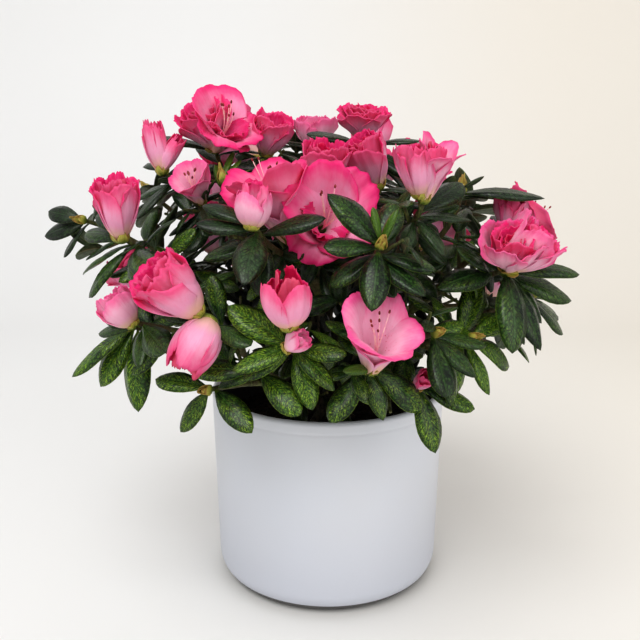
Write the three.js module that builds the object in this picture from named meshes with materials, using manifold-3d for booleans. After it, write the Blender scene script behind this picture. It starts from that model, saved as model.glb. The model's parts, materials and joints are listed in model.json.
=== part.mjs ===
// A potted azalea in bloom: a straight glazed pot filled by its root ball, a short flared
// trunk, one bough for each mass of foliage, and masses of twigs with leaves and blooms.
// Millimetres, +Z up. The origin is the centre of the pot's flat underside, and the front
// of the plant faces -Y.
import * as THREE from 'three';
import { mergeVertices } from 'three/addons/utils/BufferGeometryUtils.js';
import Module from 'manifold-3d';

const wasm = await Module();
wasm.setup();

// ---- Driving dimensions ----
const AIR = 0.3; // gap left between neighbouring solids

const POT_HEIGHT = 126;
const RIM_RADIUS = 75;
const FOOT_RADIUS = 72.4;
const FOOT_ROUND = 14;
const POT_WALL = 5;
const POT_FLOOR = 6;
const POT_SIDES = 28;

const SOIL_LEVEL = 104;
const SOIL_DIP = 2.5; // how far the soil falls towards the pot's wall

const TRUNK_TOP = 158;
const TRUNK_RADIUS = 7.2;
const TRUNK_TOP_RADIUS = 5;
const ROOT_FLARE = 4;
const TRUNK_LEAN = [-4, 3]; // where the trunk's top stands off the axis
const FIRST_FORK = 113; // height at which the lowest bough leaves the trunk

const BOUGH_RADIUS = 2.6;
const BOUGH_TIP_RADIUS = 1.9;
const HUB_SHARE = 0.5; // where, from trunk to leaves, a bough enters its mass
const FIRST_NODE = 7; // how far along its stem a mass first branches
const NODE_PITCH = 5;
const TWIG_RADIUS = 1.9;
const TWIG_TIP_RADIUS = 1.8;
const BLOOM_SINK = 2; // how far a bloom's foot lies inside its twig
const LEAF_PITCH = 2; // how far apart the leaves of a whorl leave their twig
const STEM_PITCH = 14;
const ROOT_SINK = 0.9; // how far a leaf's root lies past its twig's middle

const LEAF_LENGTH = 32;
const LEAF_SLENDERNESS = 0.44; // width for each unit of length
const LEAF_THICKNESS = 1.8;
const BELLY = 0.54; // where along its length a leaf is widest
const CROSSING = 0.5; // volume, in cubic millimetres, that two leaves may share
const BLOOM_CROSSING = 2; // and that a leaf may share with a bloom of its mass
const TOUCH = 0.15; // least gap between a twig or bloom and anything of another mass
const LEAF_AIR = 0.5; // least gap between a leaf and anything of another mass
const OVERREACH = 20; // how far a leaf may lean into the space between two masses
const CROWN_ROOT = new THREE.Vector3(0, 0, 135); // shoots point away from here

const GOLDEN_TURN = 137.5;

// ---- Planting plan ----
// A shoot's tip is [azimuth, height, reach]: degrees from the front towards the right,
// and millimetres from the table and from the axis. Its turns are the clock angles, seen
// from outside, of the leaves that stand round its tip, and each bloom is
// [form, azimuth, elevation, length, mouth radius]. A shoot without turns gets its leaves
// by the golden angle, and one without a lean points away from the crown's root.
const SEEN_SIDE = {
  left_high: [
    {
      tip: [-66, 266, 103],
      turns: [285, 55, 110, 165, 235],
      blooms: [['bud', -80, 80, 27, 8], ['bud', 40, 70, 21, 6]],
    },
    { tip: [-54, 250, 88], turns: [300, 120], blooms: [['open', -50, 45, 26, 17]] },
  ],
  top_left: [
    {
      tip: [-65, 278, 72],
      lean: [-10, 65],
      turns: [265, 85, 110, 160, 205],
      blooms: [['double', -50, 55, 32, 17], ['open', 35, 52, 32, 18]],
    },
    { tip: [-55, 275, 44], turns: [170], blooms: [['half', 40, 60, 25, 12]] },
  ],
  left_mid: [
    {
      tip: [-54, 233, 136],
      turns: [290, 262, 240, 205, 110],
      blooms: [['half', -50, 85, 35, 14]],
    },
    { tip: [-84, 234, 149], leaf: 1.15, lean: [-32, 15], turns: [278, 248, 215, 185, 20] },
  ],
  left_low: [
    {
      tip: [-44, 193, 146],
      turns: [285, 245, 205, 168, 95],
      blooms: [['half', -80, 55, 20, 9]],
    },
    {
      tip: [-26, 197, 136],
      turns: [275, 95, 180],
      blooms: [['half', -68, 42, 40, 17], ['half', -60, -50, 34, 13]],
    },
    { tip: [-60, 180, 128], leaf: 1.35, turns: [210, 245, 178, 280, 60] },
  ],
  front_low_left: [
    { tip: [-28, 160, 131], leaf: 1.15, turns: [185, 150, 215, 265, 110, 60] },
    { tip: [-17, 172, 128], leaf: 1.15, turns: [275, 200, 160] },
  ],
  front_high: [
    {
      tip: [-17, 245, 127],
      turns: [292, 262, 165, 185, 75],
      blooms: [['half', -10, 85, 24, 10]],
    },
    { tip: [-13, 233, 90], turns: [200], blooms: [['open', -62, 42, 38, 26]] },
    {
      tip: [-3, 236, 76],
      turns: [],
      blooms: [['open', 10, 35, 36, 29]],
    },
    { tip: [-3, 257, 64], turns: [], blooms: [['double', -10, 80, 24, 13]] },
    { tip: [10, 236, 134], turns: [325, 268, 190, 25, 115, 150] },
  ],
  top_front: [
    {
      tip: [50, 278, 24],
      lean: [0, 70],
      turns: [275, 85, 130],
      blooms: [['double', 20, 80, 22, 16]],
    },
    { tip: [-152, 277, 17], turns: [60], blooms: [['half', -20, 82, 22, 12]] },
    { tip: [30, 258, 55], turns: [120], blooms: [['double', 30, 78, 26, 14]] },
  ],
  front_low: [
    {
      tip: [-8, 189, 139],
      turns: [280, 255, 312, 140, 110, 170],
      blooms: [['half', -6, 80, 31, 12], ['bud', 50, 30, 15, 6]],
    },
  ],
  front_low_right: [
    {
      tip: [9, 175, 129],
      turns: [88, 150, 170, 250, 200],
      blooms: [['open', 18, 42, 37, 25]],
    },
    { tip: [24, 190, 128], turns: [300, 190, 140, 100, 225] },
    { tip: [22, 162, 122], turns: [170, 130, 200], blooms: [['bud', 20, 40, 13, 5]] },
  ],
  right_high: [
    {
      tip: [25, 249, 108],
      turns: [60, 95, 170, 215],
      blooms: [['half', -25, 70, 35, 14], ['open', 65, 62, 35, 14]],
    },
    { tip: [49, 256, 92], turns: [85, 105, 300, 130, 60] },
  ],
  right_mid: [
    {
      tip: [49, 217, 126],
      turns: [195, 168, 138, 85, 108, 270],
      blooms: [['double', 38, 60, 28, 19], ['double', 88, 45, 28, 15]],
    },
    { tip: [60, 236, 112], turns: [270, 62, 110], blooms: [['half', 62, 75, 24, 9]] },
  ],
  right_low: [
    { tip: [40, 180, 117], leaf: 1.15, turns: [80, 120, 170, 215, 30] },
    { tip: [64, 196, 126], leaf: 1.25, turns: [150, 90, 120, 182, 50] },
  ],
};

// The back of the crown, which the rule fills: for each mass its name, azimuth and height.
const FAR_SIDE = [
  ['right_side', 113, 226],
  ['right_back_low', 120, 184],
  ['back_right', 146, 242],
  ['back_low', 164, 186],
  ['back_left', -162, 250],
  ['left_back_low', -142, 184],
  ['left_back', -116, 242],
  ['left_side_low', -100, 184],
];
const FAR_SPREAD = [[-15, -8, 1], [13, 6, 1], [2, 26, 0.68]]; // turn, rise, share of reach
const FAR_TOP = 284; // the highest tip there
const FAR_BLOOM_ROOM = 20; // how much shorter a twig with blooms is
const FAR_BLOOMS = [
  [['open', 0, 35, 36, 24]],
  [],
  [['double', -25, 55, 29, 18], ['half', 40, 60, 26, 10]],
  [['half', 10, 70, 32, 13]],
  [],
];

// Half width of the crown at a height: the outline of the far side.
const CROWN_REACH = 134;
const WIDEST_LEVEL = 195;
const CROWN_RISE = 108;

function crownReach(height) {
  const level = (height - WIDEST_LEVEL) / CROWN_RISE;
  return CROWN_REACH * Math.sqrt(Math.max(0, 1 - level * level));
}

function farShoots([, azimuth, height], row) {
  return FAR_SPREAD.map(([turn, rise, share], k) => {
    const level = Math.min(height + rise, FAR_TOP);
    const widening = CROWN_REACH / crownReach(level);
    const blooms = FAR_BLOOMS[(row * FAR_SPREAD.length + k) % FAR_BLOOMS.length];
    const reach = share * crownReach(level) - (blooms.length > 0 ? FAR_BLOOM_ROOM : 0);
    return {
      tip: [azimuth + turn * widening, level, reach],
      blooms: blooms.map(([form, aside, ...rest]) => [form, azimuth + turn + aside, ...rest]),
    };
  });
}

const plan = Object.entries(SEEN_SIDE).map(([name, shoots]) => ({ name, shoots }));
FAR_SIDE.forEach((row, k) => plan.push({ name: row[0], shoots: farShoots(row, k) }));

// ---- Small helpers ----
// A stream of numbers from 0 to 1 that is the same each time for one seed.
function seeded(seed) {
  const modulus = 2147483647;
  let state = (seed * 7919 + 12345) % modulus;
  return () => {
    state = (state * 48271) % modulus;
    return state / modulus;
  };
}

function heading(azimuth, elevation) {
  const turn = THREE.MathUtils.degToRad(azimuth);
  const lift = THREE.MathUtils.degToRad(elevation);
  const out = Math.cos(lift);
  return new THREE.Vector3(out * Math.sin(turn), -out * Math.cos(turn), Math.sin(lift));
}

function place([azimuth, height, reach]) {
  return heading(azimuth, 0).multiplyScalar(reach).setZ(height);
}

// Three square axes round a direction: the direction, the one nearest up, and the right
// hand of someone who looks at it from outside.
function axesRound(direction) {
  const out = direction.clone().normalize();
  const up = new THREE.Vector3(0, 0, 1).addScaledVector(out, -out.z);
  if (up.length() < 0.05) up.set(0, 1, 0).addScaledVector(out, -out.y);
  up.normalize();
  return { out, up, right: up.clone().cross(out) };
}

// The direction that stands `open` degrees off `out`, at a clock angle round it.
function spread({ out, up, right }, open, clock) {
  const off = THREE.MathUtils.degToRad(open);
  const turn = THREE.MathUtils.degToRad(clock);
  return out.clone().multiplyScalar(Math.cos(off))
    .addScaledVector(up, Math.sin(off) * Math.cos(turn))
    .addScaledVector(right, Math.sin(off) * Math.sin(turn));
}

// A geometry as a closed solid: its vertices shared, its faces pointing out.
function solid(geometry) {
  const loose = geometry.index ? geometry.toNonIndexed() : geometry;
  loose.deleteAttribute('normal');
  loose.deleteAttribute('uv');
  const shared = mergeVertices(loose, 1e-3);
  const faces = [];
  for (let i = 0; i < shared.index.count; i += 3) {
    const [a, b, c] = [0, 1, 2].map((k) => shared.index.getX(i + k));
    if (a !== b && b !== c && c !== a) faces.push(a, b, c);
  }
  const vertProperties = new Float32Array(shared.attributes.position.array);
  const make = (order) => new wasm.Manifold(
    new wasm.Mesh({ numProp: 3, vertProperties, triVerts: new Uint32Array(order) }),
  );
  const body = make(faces);
  return body.volume() > 0 ? body : make(faces.reverse());
}

// Move every vertex of a geometry to where `move` puts it.
function reshaped(geometry, move) {
  const corners = geometry.attributes.position;
  const corner = new THREE.Vector3();
  for (let i = 0; i < corners.count; i += 1) {
    move(corner.fromBufferAttribute(corners, i));
    corners.setXYZ(i, corner.x, corner.y, corner.z);
  }
  return geometry;
}

// A tapering limb along a curve: a turned cone, bent along it, with flat ends.
function limb(curve, radiusAt, sides, steps) {
  const profile = [new THREE.Vector2(0, 0)];
  for (let i = 0; i <= steps; i += 1) {
    profile.push(new THREE.Vector2(radiusAt(i / steps), i / steps));
  }
  profile.push(new THREE.Vector2(0, 1));
  const frames = curve.computeFrenetFrames(steps);
  return solid(reshaped(new THREE.LatheGeometry(profile, sides), (corner) => {
    const step = Math.round(corner.y * steps);
    const { x, z } = corner;
    corner.copy(curve.getPointAt(step / steps))
      .addScaledVector(frames.normals[step], x)
      .addScaledVector(frames.binormals[step], z);
  }));
}

function taper(from, to) {
  return (share) => THREE.MathUtils.lerp(from, to, share);
}

function largestPiece(body) {
  return body.decompose().sort((a, b) => b.volume() - a.volume())[0];
}

// ---- Pot and root ball ----
function outerRadius(height) {
  return THREE.MathUtils.lerp(FOOT_RADIUS, RIM_RADIUS, height / POT_HEIGHT);
}

function arc(centreX, centreY, radiusX, radiusY, from, to, steps) {
  return Array.from({ length: steps + 1 }, (_, i) => {
    const angle = THREE.MathUtils.degToRad(THREE.MathUtils.lerp(from, to, i / steps));
    return new THREE.Vector2(
      centreX + radiusX * Math.cos(angle),
      centreY + radiusY * Math.sin(angle),
    );
  });
}

function turned(profile) {
  const lathe = new THREE.LatheGeometry(profile, POT_SIDES);
  return solid(lathe.rotateX(Math.PI / 2));
}

function potSolid() {
  const footSide = outerRadius(FOOT_ROUND);
  const lip = POT_WALL / 2;
  const innerRound = FOOT_ROUND - POT_WALL;
  const innerSide = outerRadius(POT_FLOOR + innerRound) - POT_WALL;
  return turned([
    new THREE.Vector2(0, 0),
    ...arc(footSide - FOOT_ROUND, FOOT_ROUND, FOOT_ROUND, FOOT_ROUND, -90, 0, 3),
    ...arc(RIM_RADIUS - lip, POT_HEIGHT - lip, lip, lip, 0, 180, 4),
    ...arc(innerSide - innerRound, POT_FLOOR + innerRound, innerRound, innerRound, 0, -90, 2),
    new THREE.Vector2(0, POT_FLOOR),
  ]);
}

// The root ball fills the pot and is level round the trunk, with a slight fall and dents.
function soilSolid() {
  const innerRound = FOOT_ROUND - POT_WALL;
  const low = POT_FLOOR + AIR;
  const innerSide = outerRadius(POT_FLOOR + innerRound) - POT_WALL - AIR;
  const edge = SOIL_LEVEL - SOIL_DIP;
  const edgeRadius = outerRadius(edge) - POT_WALL - AIR;
  const profile = [
    new THREE.Vector2(0, low),
    ...arc(innerSide - innerRound, low + innerRound, innerRound, innerRound, -90, 0, 2),
    new THREE.Vector2(edgeRadius, edge),
    new THREE.Vector2(edgeRadius * 0.72, SOIL_LEVEL - SOIL_DIP * 0.4),
    new THREE.Vector2(edgeRadius * 0.45, SOIL_LEVEL),
    new THREE.Vector2(0, SOIL_LEVEL),
  ];
  const lathe = new THREE.LatheGeometry(profile, POT_SIDES).rotateX(Math.PI / 2);
  const dented = reshaped(lathe, (corner) => {
    const away = Math.hypot(corner.x, corner.y);
    const inRing = away > edgeRadius * 0.6 && away < edgeRadius * 0.9 && corner.z > edge;
    if (inRing) corner.z += 0.8 * Math.sin(corner.x * 0.31) * Math.cos(corner.y * 0.27);
  });
  return solid(dented);
}

// ---- Trunk and boughs ----
const trunkLine = new THREE.QuadraticBezierCurve3(
  new THREE.Vector3(0, 0, SOIL_LEVEL + AIR),
  new THREE.Vector3(0, 0, THREE.MathUtils.lerp(SOIL_LEVEL, TRUNK_TOP, 0.5)),
  new THREE.Vector3(...TRUNK_LEAN, TRUNK_TOP),
);

function trunkRadius(share) {
  const flare = ROOT_FLARE * Math.exp(-8 * share);
  return THREE.MathUtils.lerp(TRUNK_RADIUS, TRUNK_TOP_RADIUS, share) + flare;
}

function trunkSolid(extra = 0) {
  return limb(trunkLine, (share) => trunkRadius(share) + extra, 9, 6);
}

// Where a mass's bough leaves the trunk and enters the mass, and how it runs.
function setOut(mass) {
  const tips = mass.shoots.map((shoot) => place(shoot.tip));
  const middle = tips.reduce((sum, tip) => sum.add(tip), new THREE.Vector3());
  middle.divideScalar(tips.length);
  const climb = THREE.MathUtils.clamp((middle.z - 160) / 125, 0, 1);
  const fork = trunkLine.getPointAt(
    (THREE.MathUtils.lerp(FIRST_FORK, TRUNK_TOP - 6, climb) - SOIL_LEVEL)
      / (TRUNK_TOP - SOIL_LEVEL),
  );
  const hub = fork.clone().lerp(middle, HUB_SHARE);
  const drift = middle.clone().sub(hub).normalize();
  drift.add(new THREE.Vector3(0, 0, 0.25)).normalize();
  const bend = hub.clone().addScaledVector(drift, -0.5 * hub.distanceTo(fork));
  mass.middle = middle;
  mass.hub = hub;
  mass.drift = drift;
  mass.boughLine = new THREE.QuadraticBezierCurve3(fork, bend, hub);
}

function boughSolid(mass, extra = 0) {
  const radius = taper(BOUGH_RADIUS + extra, BOUGH_TIP_RADIUS + extra);
  return limb(mass.boughLine, radius, 4, 3);
}

// ---- Twigs, leaves and blooms ----
function twigLine(from, tip, lean) {
  const bend = tip.clone().addScaledVector(lean, -0.42 * tip.distanceTo(from));
  return new THREE.QuadraticBezierCurve3(from, bend, tip);
}

// The first twig of a mass carries on from its bough, so it sets out the way that ends.
function leaderLine(from, drift, tip, lean) {
  const stride = 0.38 * tip.distanceTo(from);
  return new THREE.CubicBezierCurve3(
    from,
    from.clone().addScaledVector(drift, stride),
    tip.clone().addScaledVector(lean, -stride),
    tip,
  );
}

// A point of a leaf: so far along it, to its side and above its middle. It bends back
// from its upper face towards the tip.
function leafPoint(leaf, share, side, height) {
  return leaf.root.clone()
    .addScaledVector(leaf.along, leaf.length * share)
    .addScaledVector(leaf.side, side)
    .addScaledVector(leaf.face, height)
    .addScaledVector(leaf.droop, leaf.sag * leaf.length * share * share);
}

// A leaf is a blade of six faces: flat beneath, with a ridged belly above.
function leafSolid(leaf) {
  const corners = [
    leafPoint(leaf, 0, 0, 0),
    leafPoint(leaf, BELLY, leaf.width / 2, 0),
    leafPoint(leaf, BELLY, -leaf.width / 2, 0),
    leafPoint(leaf, BELLY, 0, LEAF_THICKNESS),
    leafPoint(leaf, 1, 0, 0),
  ];
  const [root, left, right, ridge, tip] = corners.keys();
  const blade = new THREE.BufferGeometry().setFromPoints(corners);
  blade.setIndex([
    root, ridge, left, root, right, ridge, ridge, tip, left, ridge, right, tip,
    root, left, right, left, tip, right,
  ]);
  return solid(blade);
}

// A leaf that stands off a stem. Its numbers are drawn in one fixed order.
function newLeaf(stem, axes, open, clock, size, random) {
  const along = spread(axes, open + 16 * (random() - 0.5), clock + 14 * (random() - 0.5));
  const length = LEAF_LENGTH * size * (0.84 + 0.32 * random());
  const width = length * LEAF_SLENDERNESS * (0.86 + 0.28 * random());
  const sag = 0.04 + 0.22 * random();
  const roll = 0.5 * (random() - 0.5);
  const face = axes.out.clone().addScaledVector(along, -axes.out.dot(along)).normalize();
  const side = along.clone().cross(face);
  face.addScaledVector(side, roll).normalize();
  side.copy(along).cross(face);
  const droop = face.clone().negate().add(new THREE.Vector3(0, 0, -0.7)).normalize();
  const root = stem.clone().addScaledVector(along, -ROOT_SINK);
  return { root, along, face, side, droop, length, width, sag };
}

const BLOOM_FORMS = {
  open: {
    sides: 10,
    ruffle: 0.13,
    profile: [[0, 0], [0.3, 0.36], [1, 0.98], [0.9, 1.03], [0, 0.34]],
  },
  double: {
    sides: 10,
    cup: true,
    ruffle: 0.1,
    profile: [[0, 0], [0.62, 0.26], [1, 0.74], [0.72, 1], [0, 0.86]],
  },
  half: {
    sides: 6,
    cup: true,
    ruffle: 0.08,
    profile: [[0, 0], [0.66, 0.2], [1, 0.6], [0.8, 1], [0, 0.72]],
  },
  bud: {
    sides: 5,
    cup: true,
    ruffle: 0,
    profile: [[0, 0], [0.9, 0.36], [0.75, 0.8], [0, 1]],
  },
};

function newBloom(tip, [form, azimuth, elevation, length, mouth]) {
  const axes = axesRound(heading(azimuth, elevation));
  const base = tip.clone().addScaledVector(axes.out, -BLOOM_SINK);
  return { base, axes, form: BLOOM_FORMS[form], length, mouth };
}

// A bloom is turned as a shell round its throat, and its rim is drawn into five lobes.
function bloomSolid({ base, axes, form, length, mouth }) {
  const profile = form.profile.map(([r, h]) => new THREE.Vector2(r * mouth, h * length));
  return solid(reshaped(new THREE.LatheGeometry(profile, form.sides), (corner) => {
    const { x, y, z } = corner;
    const onAxis = Math.hypot(x, z) < 1e-3;
    const spoke = Math.round(Math.atan2(z, x) / (2 * Math.PI / form.sides));
    const lobe = spoke % 2 === 0 ? 1 : -1;
    const wave = onAxis ? 0 : lobe * form.ruffle * (y / length);
    corner.copy(base)
      .addScaledVector(axes.out, y * (1 + 0.6 * wave))
      .addScaledVector(axes.up, x * (1 + wave))
      .addScaledVector(axes.right, z * (1 + wave));
  }));
}

// ---- The space of each mass ----
// A mass owns what is nearer to its twigs and blooms than to those of any other mass, and
// a little of the space between. Twigs are stood for by balls.
function ballsAlong(curve, radius, pace) {
  const steps = Math.max(2, Math.ceil(curve.getLength() / pace));
  return curve.getSpacedPoints(steps).map((centre) => ({ centre, radius }));
}

// A bloom is stood for by the cone or cup that its profile fills.
function airToBloom({ base, axes, form, length, mouth }, point) {
  const off = point.clone().sub(base);
  const height = off.dot(axes.out);
  const away = off.addScaledVector(axes.out, -height).length();
  const share = THREE.MathUtils.clamp(height / length, 0, 1);
  const wall = mouth * (form.cup ? Math.min(1, 0.3 + 1.8 * share) : 0.1 + share);
  return Math.max(away - wall, height - 1.06 * length, -height);
}

function airToMass(mass, point) {
  return Math.min(
    ...mass.balls.map(({ centre, radius }) => centre.distanceTo(point) - radius),
    ...mass.blooms.map((bloom) => airToBloom(bloom, point)),
  );
}

function inPot(point) {
  const away = Math.hypot(point.x, point.y);
  const besideWall = away < RIM_RADIUS + LEAF_AIR && point.z < POT_HEIGHT + LEAF_AIR;
  const overSoil = away < RIM_RADIUS - POT_WALL - 2 && point.z > SOIL_LEVEL + 2;
  return besideWall && !overSoil;
}

function inOwnSpace(mass, point) {
  const own = airToMass(mass, point) - OVERREACH;
  return plan.every((other) => other === mass || airToMass(other, point) > own);
}

function outlinePoints(leaf) {
  const half = leaf.width / 2;
  return [
    [1, 0], [0.77, half * 0.55], [0.77, -half * 0.55], [0.77, 0],
    [BELLY, half], [BELLY, -half], [BELLY, 0], [0.3, half * 0.5], [0.3, -half * 0.5],
  ].map(([share, side]) => leafPoint(leaf, share, side, 0));
}

// Everything made so far, each solid with its mass, its box and the volume that another
// piece of the same mass may share with it: wood may be crossed freely.
const made = [];

function keep(body, mass, limit = Infinity) {
  const { min, max } = body.boundingBox();
  const box = new THREE.Box3(new THREE.Vector3(...min), new THREE.Vector3(...max));
  made.push({ body, mass, box, limit });
  return body;
}

// A leaf has room if it stays in its mass's space, meets nothing of another mass and
// hardly cuts the leaves and blooms of its own.
function hasRoom(body, points, mass) {
  if (points.some((point) => inPot(point) || !inOwnSpace(mass, point))) return false;
  const box = new THREE.Box3().setFromPoints(points).expandByScalar(2);
  return made.every((other) => {
    if (!box.intersectsBox(other.box)) return true;
    if (other.mass !== mass) return other.body.minGap(body, 2) > LEAF_AIR;
    return other.body.intersect(body).volume() < other.limit;
  });
}

// ---- Growing the masses ----
// The first main twig is the mass's stem. The others leave it one by one above its foot.
function sprout(mass, index) {
  const foot = mass.hub.clone().addScaledVector(mass.drift, AIR);
  let stem = null;
  mass.twigs = mass.shoots.map((shoot, k) => {
    const tip = place(shoot.tip);
    const lean = shoot.lean ? heading(...shoot.lean)
      : tip.clone().sub(CROWN_ROOT).normalize();
    const climb = FIRST_NODE + NODE_PITCH * (k - 1);
    const line = stem
      ? twigLine(stem.getPointAt(Math.min(0.6, climb / stem.getLength())), tip, lean)
      : leaderLine(foot, mass.drift, tip, lean);
    stem ??= line;
    return {
      tip, lean, line,
      turns: shoot.turns,
      leafSize: shoot.leaf ?? 1,
      random: seeded(index * 10 + k + 1),
      blooms: (shoot.blooms ?? []).map((bloom) => newBloom(tip, bloom)),
    };
  });
}

function clearOfOthers(body, mass) {
  return made.every((other) => other.mass === mass || other.body.minGap(body, 1) > TOUCH);
}

// The wood and the blooms come first, so that leaves can be kept clear of all of them.
// A twig that would touch a limb or another mass is left out with its blooms.
function growFrame(mass) {
  mass.pieces = [];
  mass.blooms = [];
  mass.twigs = mass.twigs.filter(({ line, blooms }) => {
    const wood = limb(line, taper(TWIG_RADIUS, TWIG_TIP_RADIUS), 3, 3);
    if (!clearOfOthers(wood, mass)) return false;
    mass.pieces.push(keep(wood, mass));
    blooms.forEach((bloom) => {
      const cup = bloomSolid(bloom);
      if (!clearOfOthers(cup, mass)) return;
      mass.pieces.push(keep(cup, mass, BLOOM_CROSSING));
      mass.blooms.push(bloom);
    });
    return true;
  });
  mass.balls = mass.twigs.flatMap(({ line }) => ballsAlong(line, TWIG_RADIUS, 7));
}

// The leaves of a shoot stand round its twig's end, a little apart, and the rest of the
// twig has a leaf every so often.
function whorl(line, axes, turns, first, open, size, random) {
  const length = line.getLength();
  return turns.map((clock, k) => {
    const stem = line.getPointAt(1 - (first + LEAF_PITCH * k) / length);
    return newLeaf(stem, axes, open, clock, size, random);
  });
}

function goldenTurns(count, start) {
  return Array.from({ length: count }, (_, k) => start + GOLDEN_TURN * k);
}

function tipLeaves({ line, lean, turns, leafSize, blooms, random }) {
  const clocks = turns ?? goldenTurns(6, 360 * random());
  const first = blooms.length > 0 ? 3.5 : 1;
  return whorl(line, axesRound(lean), clocks, first, 76, leafSize, random);
}

function stemLeaves({ line, random }) {
  const length = line.getLength();
  const first = 16;
  const count = Math.max(0, Math.floor((length * 0.75 - first) / STEM_PITCH));
  return goldenTurns(count, 360 * random()).map((clock, k) => {
    const share = 1 - (first + STEM_PITCH * k) / length;
    const axes = axesRound(line.getTangentAt(share));
    return newLeaf(line.getPointAt(share), axes, 64, clock, 0.95, random);
  });
}

// A side twig leaves each main twig half way along and carries a small whorl of its own.
function sideTwig({ line, random }) {
  const from = line.getPointAt(0.5);
  const lean = spread(axesRound(line.getTangentAt(0.5)), 50, 360 * random());
  const tip = from.clone().addScaledVector(lean, 20 + 8 * random());
  return { tip, lean, line: twigLine(from, tip, lean), random };
}

function sideLeaves({ line, lean, random }) {
  return whorl(line, axesRound(lean), goldenTurns(4, 360 * random()), 1, 68, 0.92, random);
}

function growLeaves(mass, leaves) {
  leaves.forEach((leaf) => {
    const blade = leafSolid(leaf);
    if (hasRoom(blade, outlinePoints(leaf), mass)) mass.pieces.push(keep(blade, mass, CROSSING));
  });
}

// ---- Assembly ----
const glaze = { color: 0xcbccd1, roughness: 0.35, metalness: 0 };
const peat = { color: 0x2a1f18, roughness: 0.95, metalness: 0 };
const bark = { color: 0x6b5a43, roughness: 0.8, metalness: 0 };
const foliage = { color: 0x2f5a33, roughness: 0.45, metalness: 0 };

function named(name, body, finish) {
  const { vertProperties, triVerts } = body.getMesh();
  const geometry = new THREE.BufferGeometry();
  geometry.setAttribute('position', new THREE.BufferAttribute(vertProperties, 3));
  geometry.setIndex(new THREE.BufferAttribute(triVerts, 1));
  geometry.computeVertexNormals();
  const mesh = new THREE.Mesh(geometry, new THREE.MeshStandardMaterial(finish));
  mesh.name = name;
  return mesh;
}

const azalea = new THREE.Group();
azalea.add(named('pot', potSolid(), glaze));
azalea.add(named('root_ball', soilSolid(), peat));
azalea.add(named('trunk', keep(trunkSolid()), bark));

// Each bough stands clear of the trunk and of the boughs made before it.
plan.forEach(setOut);
let taken = trunkSolid(AIR);
plan.forEach((mass) => {
  const bough = largestPiece(boughSolid(mass).subtract(taken));
  azalea.add(named(`bough_${mass.name}`, keep(bough), bark));
  taken = taken.add(boughSolid(mass, AIR));
});

plan.forEach(sprout);
plan.forEach(growFrame);

// The outer whorls take their room first, then the leaves below them, then side twigs.
const twigs = plan.flatMap((mass) => mass.twigs.map((twig) => ({ mass, twig })));
twigs.forEach(({ mass, twig }) => growLeaves(mass, tipLeaves(twig)));
twigs.forEach(({ mass, twig }) => growLeaves(mass, stemLeaves(twig)));
twigs.forEach(({ mass, twig }) => {
  const side = sideTwig(twig);
  const wood = limb(side.line, () => TWIG_TIP_RADIUS, 3, 1);
  if (!hasRoom(wood, [side.tip, side.line.getPointAt(0.6)], mass)) return;
  mass.pieces.push(keep(wood, mass));
  growLeaves(mass, sideLeaves(side));
});

plan.forEach((mass) => {
  const body = largestPiece(wasm.Manifold.union(mass.pieces));
  azalea.add(named(`foliage_${mass.name}`, body, foliage));
});

export default azalea;
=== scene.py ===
# %% [markdown]
# # A potted azalea in bloom
# The plant is a small shrub in a straight glazed pot. The solids of the frame give its true
# outline: pot, root ball, trunk, one bough for each mass of foliage, and the masses
# themselves. This script keeps their places and dresses them. Leaves, twigs and blooms grow
# here by the same rule as in the solids, with the same seeds, and go on to finer twigs.
# Everything is planned in millimetres and made in metres.

# %% The fixed frame
import json
import math

import bpy
import numpy as np
from mathutils import Matrix, Vector

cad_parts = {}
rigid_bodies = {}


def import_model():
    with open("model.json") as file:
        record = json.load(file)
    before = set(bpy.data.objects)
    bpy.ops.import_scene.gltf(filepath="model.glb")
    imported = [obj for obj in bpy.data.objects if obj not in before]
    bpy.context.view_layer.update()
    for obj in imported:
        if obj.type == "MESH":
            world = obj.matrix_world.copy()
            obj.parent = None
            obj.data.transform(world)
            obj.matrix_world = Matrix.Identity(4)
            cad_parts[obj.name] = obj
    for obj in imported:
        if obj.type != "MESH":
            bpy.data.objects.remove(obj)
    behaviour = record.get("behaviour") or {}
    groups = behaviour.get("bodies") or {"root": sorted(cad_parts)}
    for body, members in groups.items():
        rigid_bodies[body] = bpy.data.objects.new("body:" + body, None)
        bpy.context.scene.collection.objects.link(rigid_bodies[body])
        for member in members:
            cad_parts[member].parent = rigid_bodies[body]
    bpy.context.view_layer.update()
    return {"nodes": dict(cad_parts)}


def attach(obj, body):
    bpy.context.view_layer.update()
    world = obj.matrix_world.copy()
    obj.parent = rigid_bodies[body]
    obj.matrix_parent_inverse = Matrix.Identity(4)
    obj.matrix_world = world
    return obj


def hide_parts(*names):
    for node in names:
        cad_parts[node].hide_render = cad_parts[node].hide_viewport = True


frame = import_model()
nodes = sorted(frame["nodes"])
boughs = [name for name in nodes if name.startswith("bough_")]
foliage = [name for name in nodes if name.startswith("foliage_")]
print(f"{len(boughs)} boughs and {len(foliage)} masses of foliage")

MM = 0.001
GOLDEN_TURN = 137.5

# %% [markdown]
# ## Small helpers
# Anything that varies is drawn from a stream of numbers that starts from a seed. The stream
# is a short formula and not a library's, so that the solids' source can use the same one
# and both get the same plant.

# %% Seeds and directions
STREAM_SIZE, STREAM_STEP = 2147483647, 48271
SEED_STEP, SEED_START = 7919, 12345


def seeded(seed):
    state = (seed * SEED_STEP + SEED_START) % STREAM_SIZE

    def draw():
        nonlocal state
        state = state * STREAM_STEP % STREAM_SIZE
        return state / STREAM_SIZE

    return draw


def heading(azimuth, elevation):
    """A direction: azimuth in degrees from the front towards the right, then upwards."""
    turn, lift = math.radians(azimuth), math.radians(elevation)
    out = math.cos(lift)
    return Vector((out * math.sin(turn), -out * math.cos(turn), math.sin(lift)))


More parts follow.
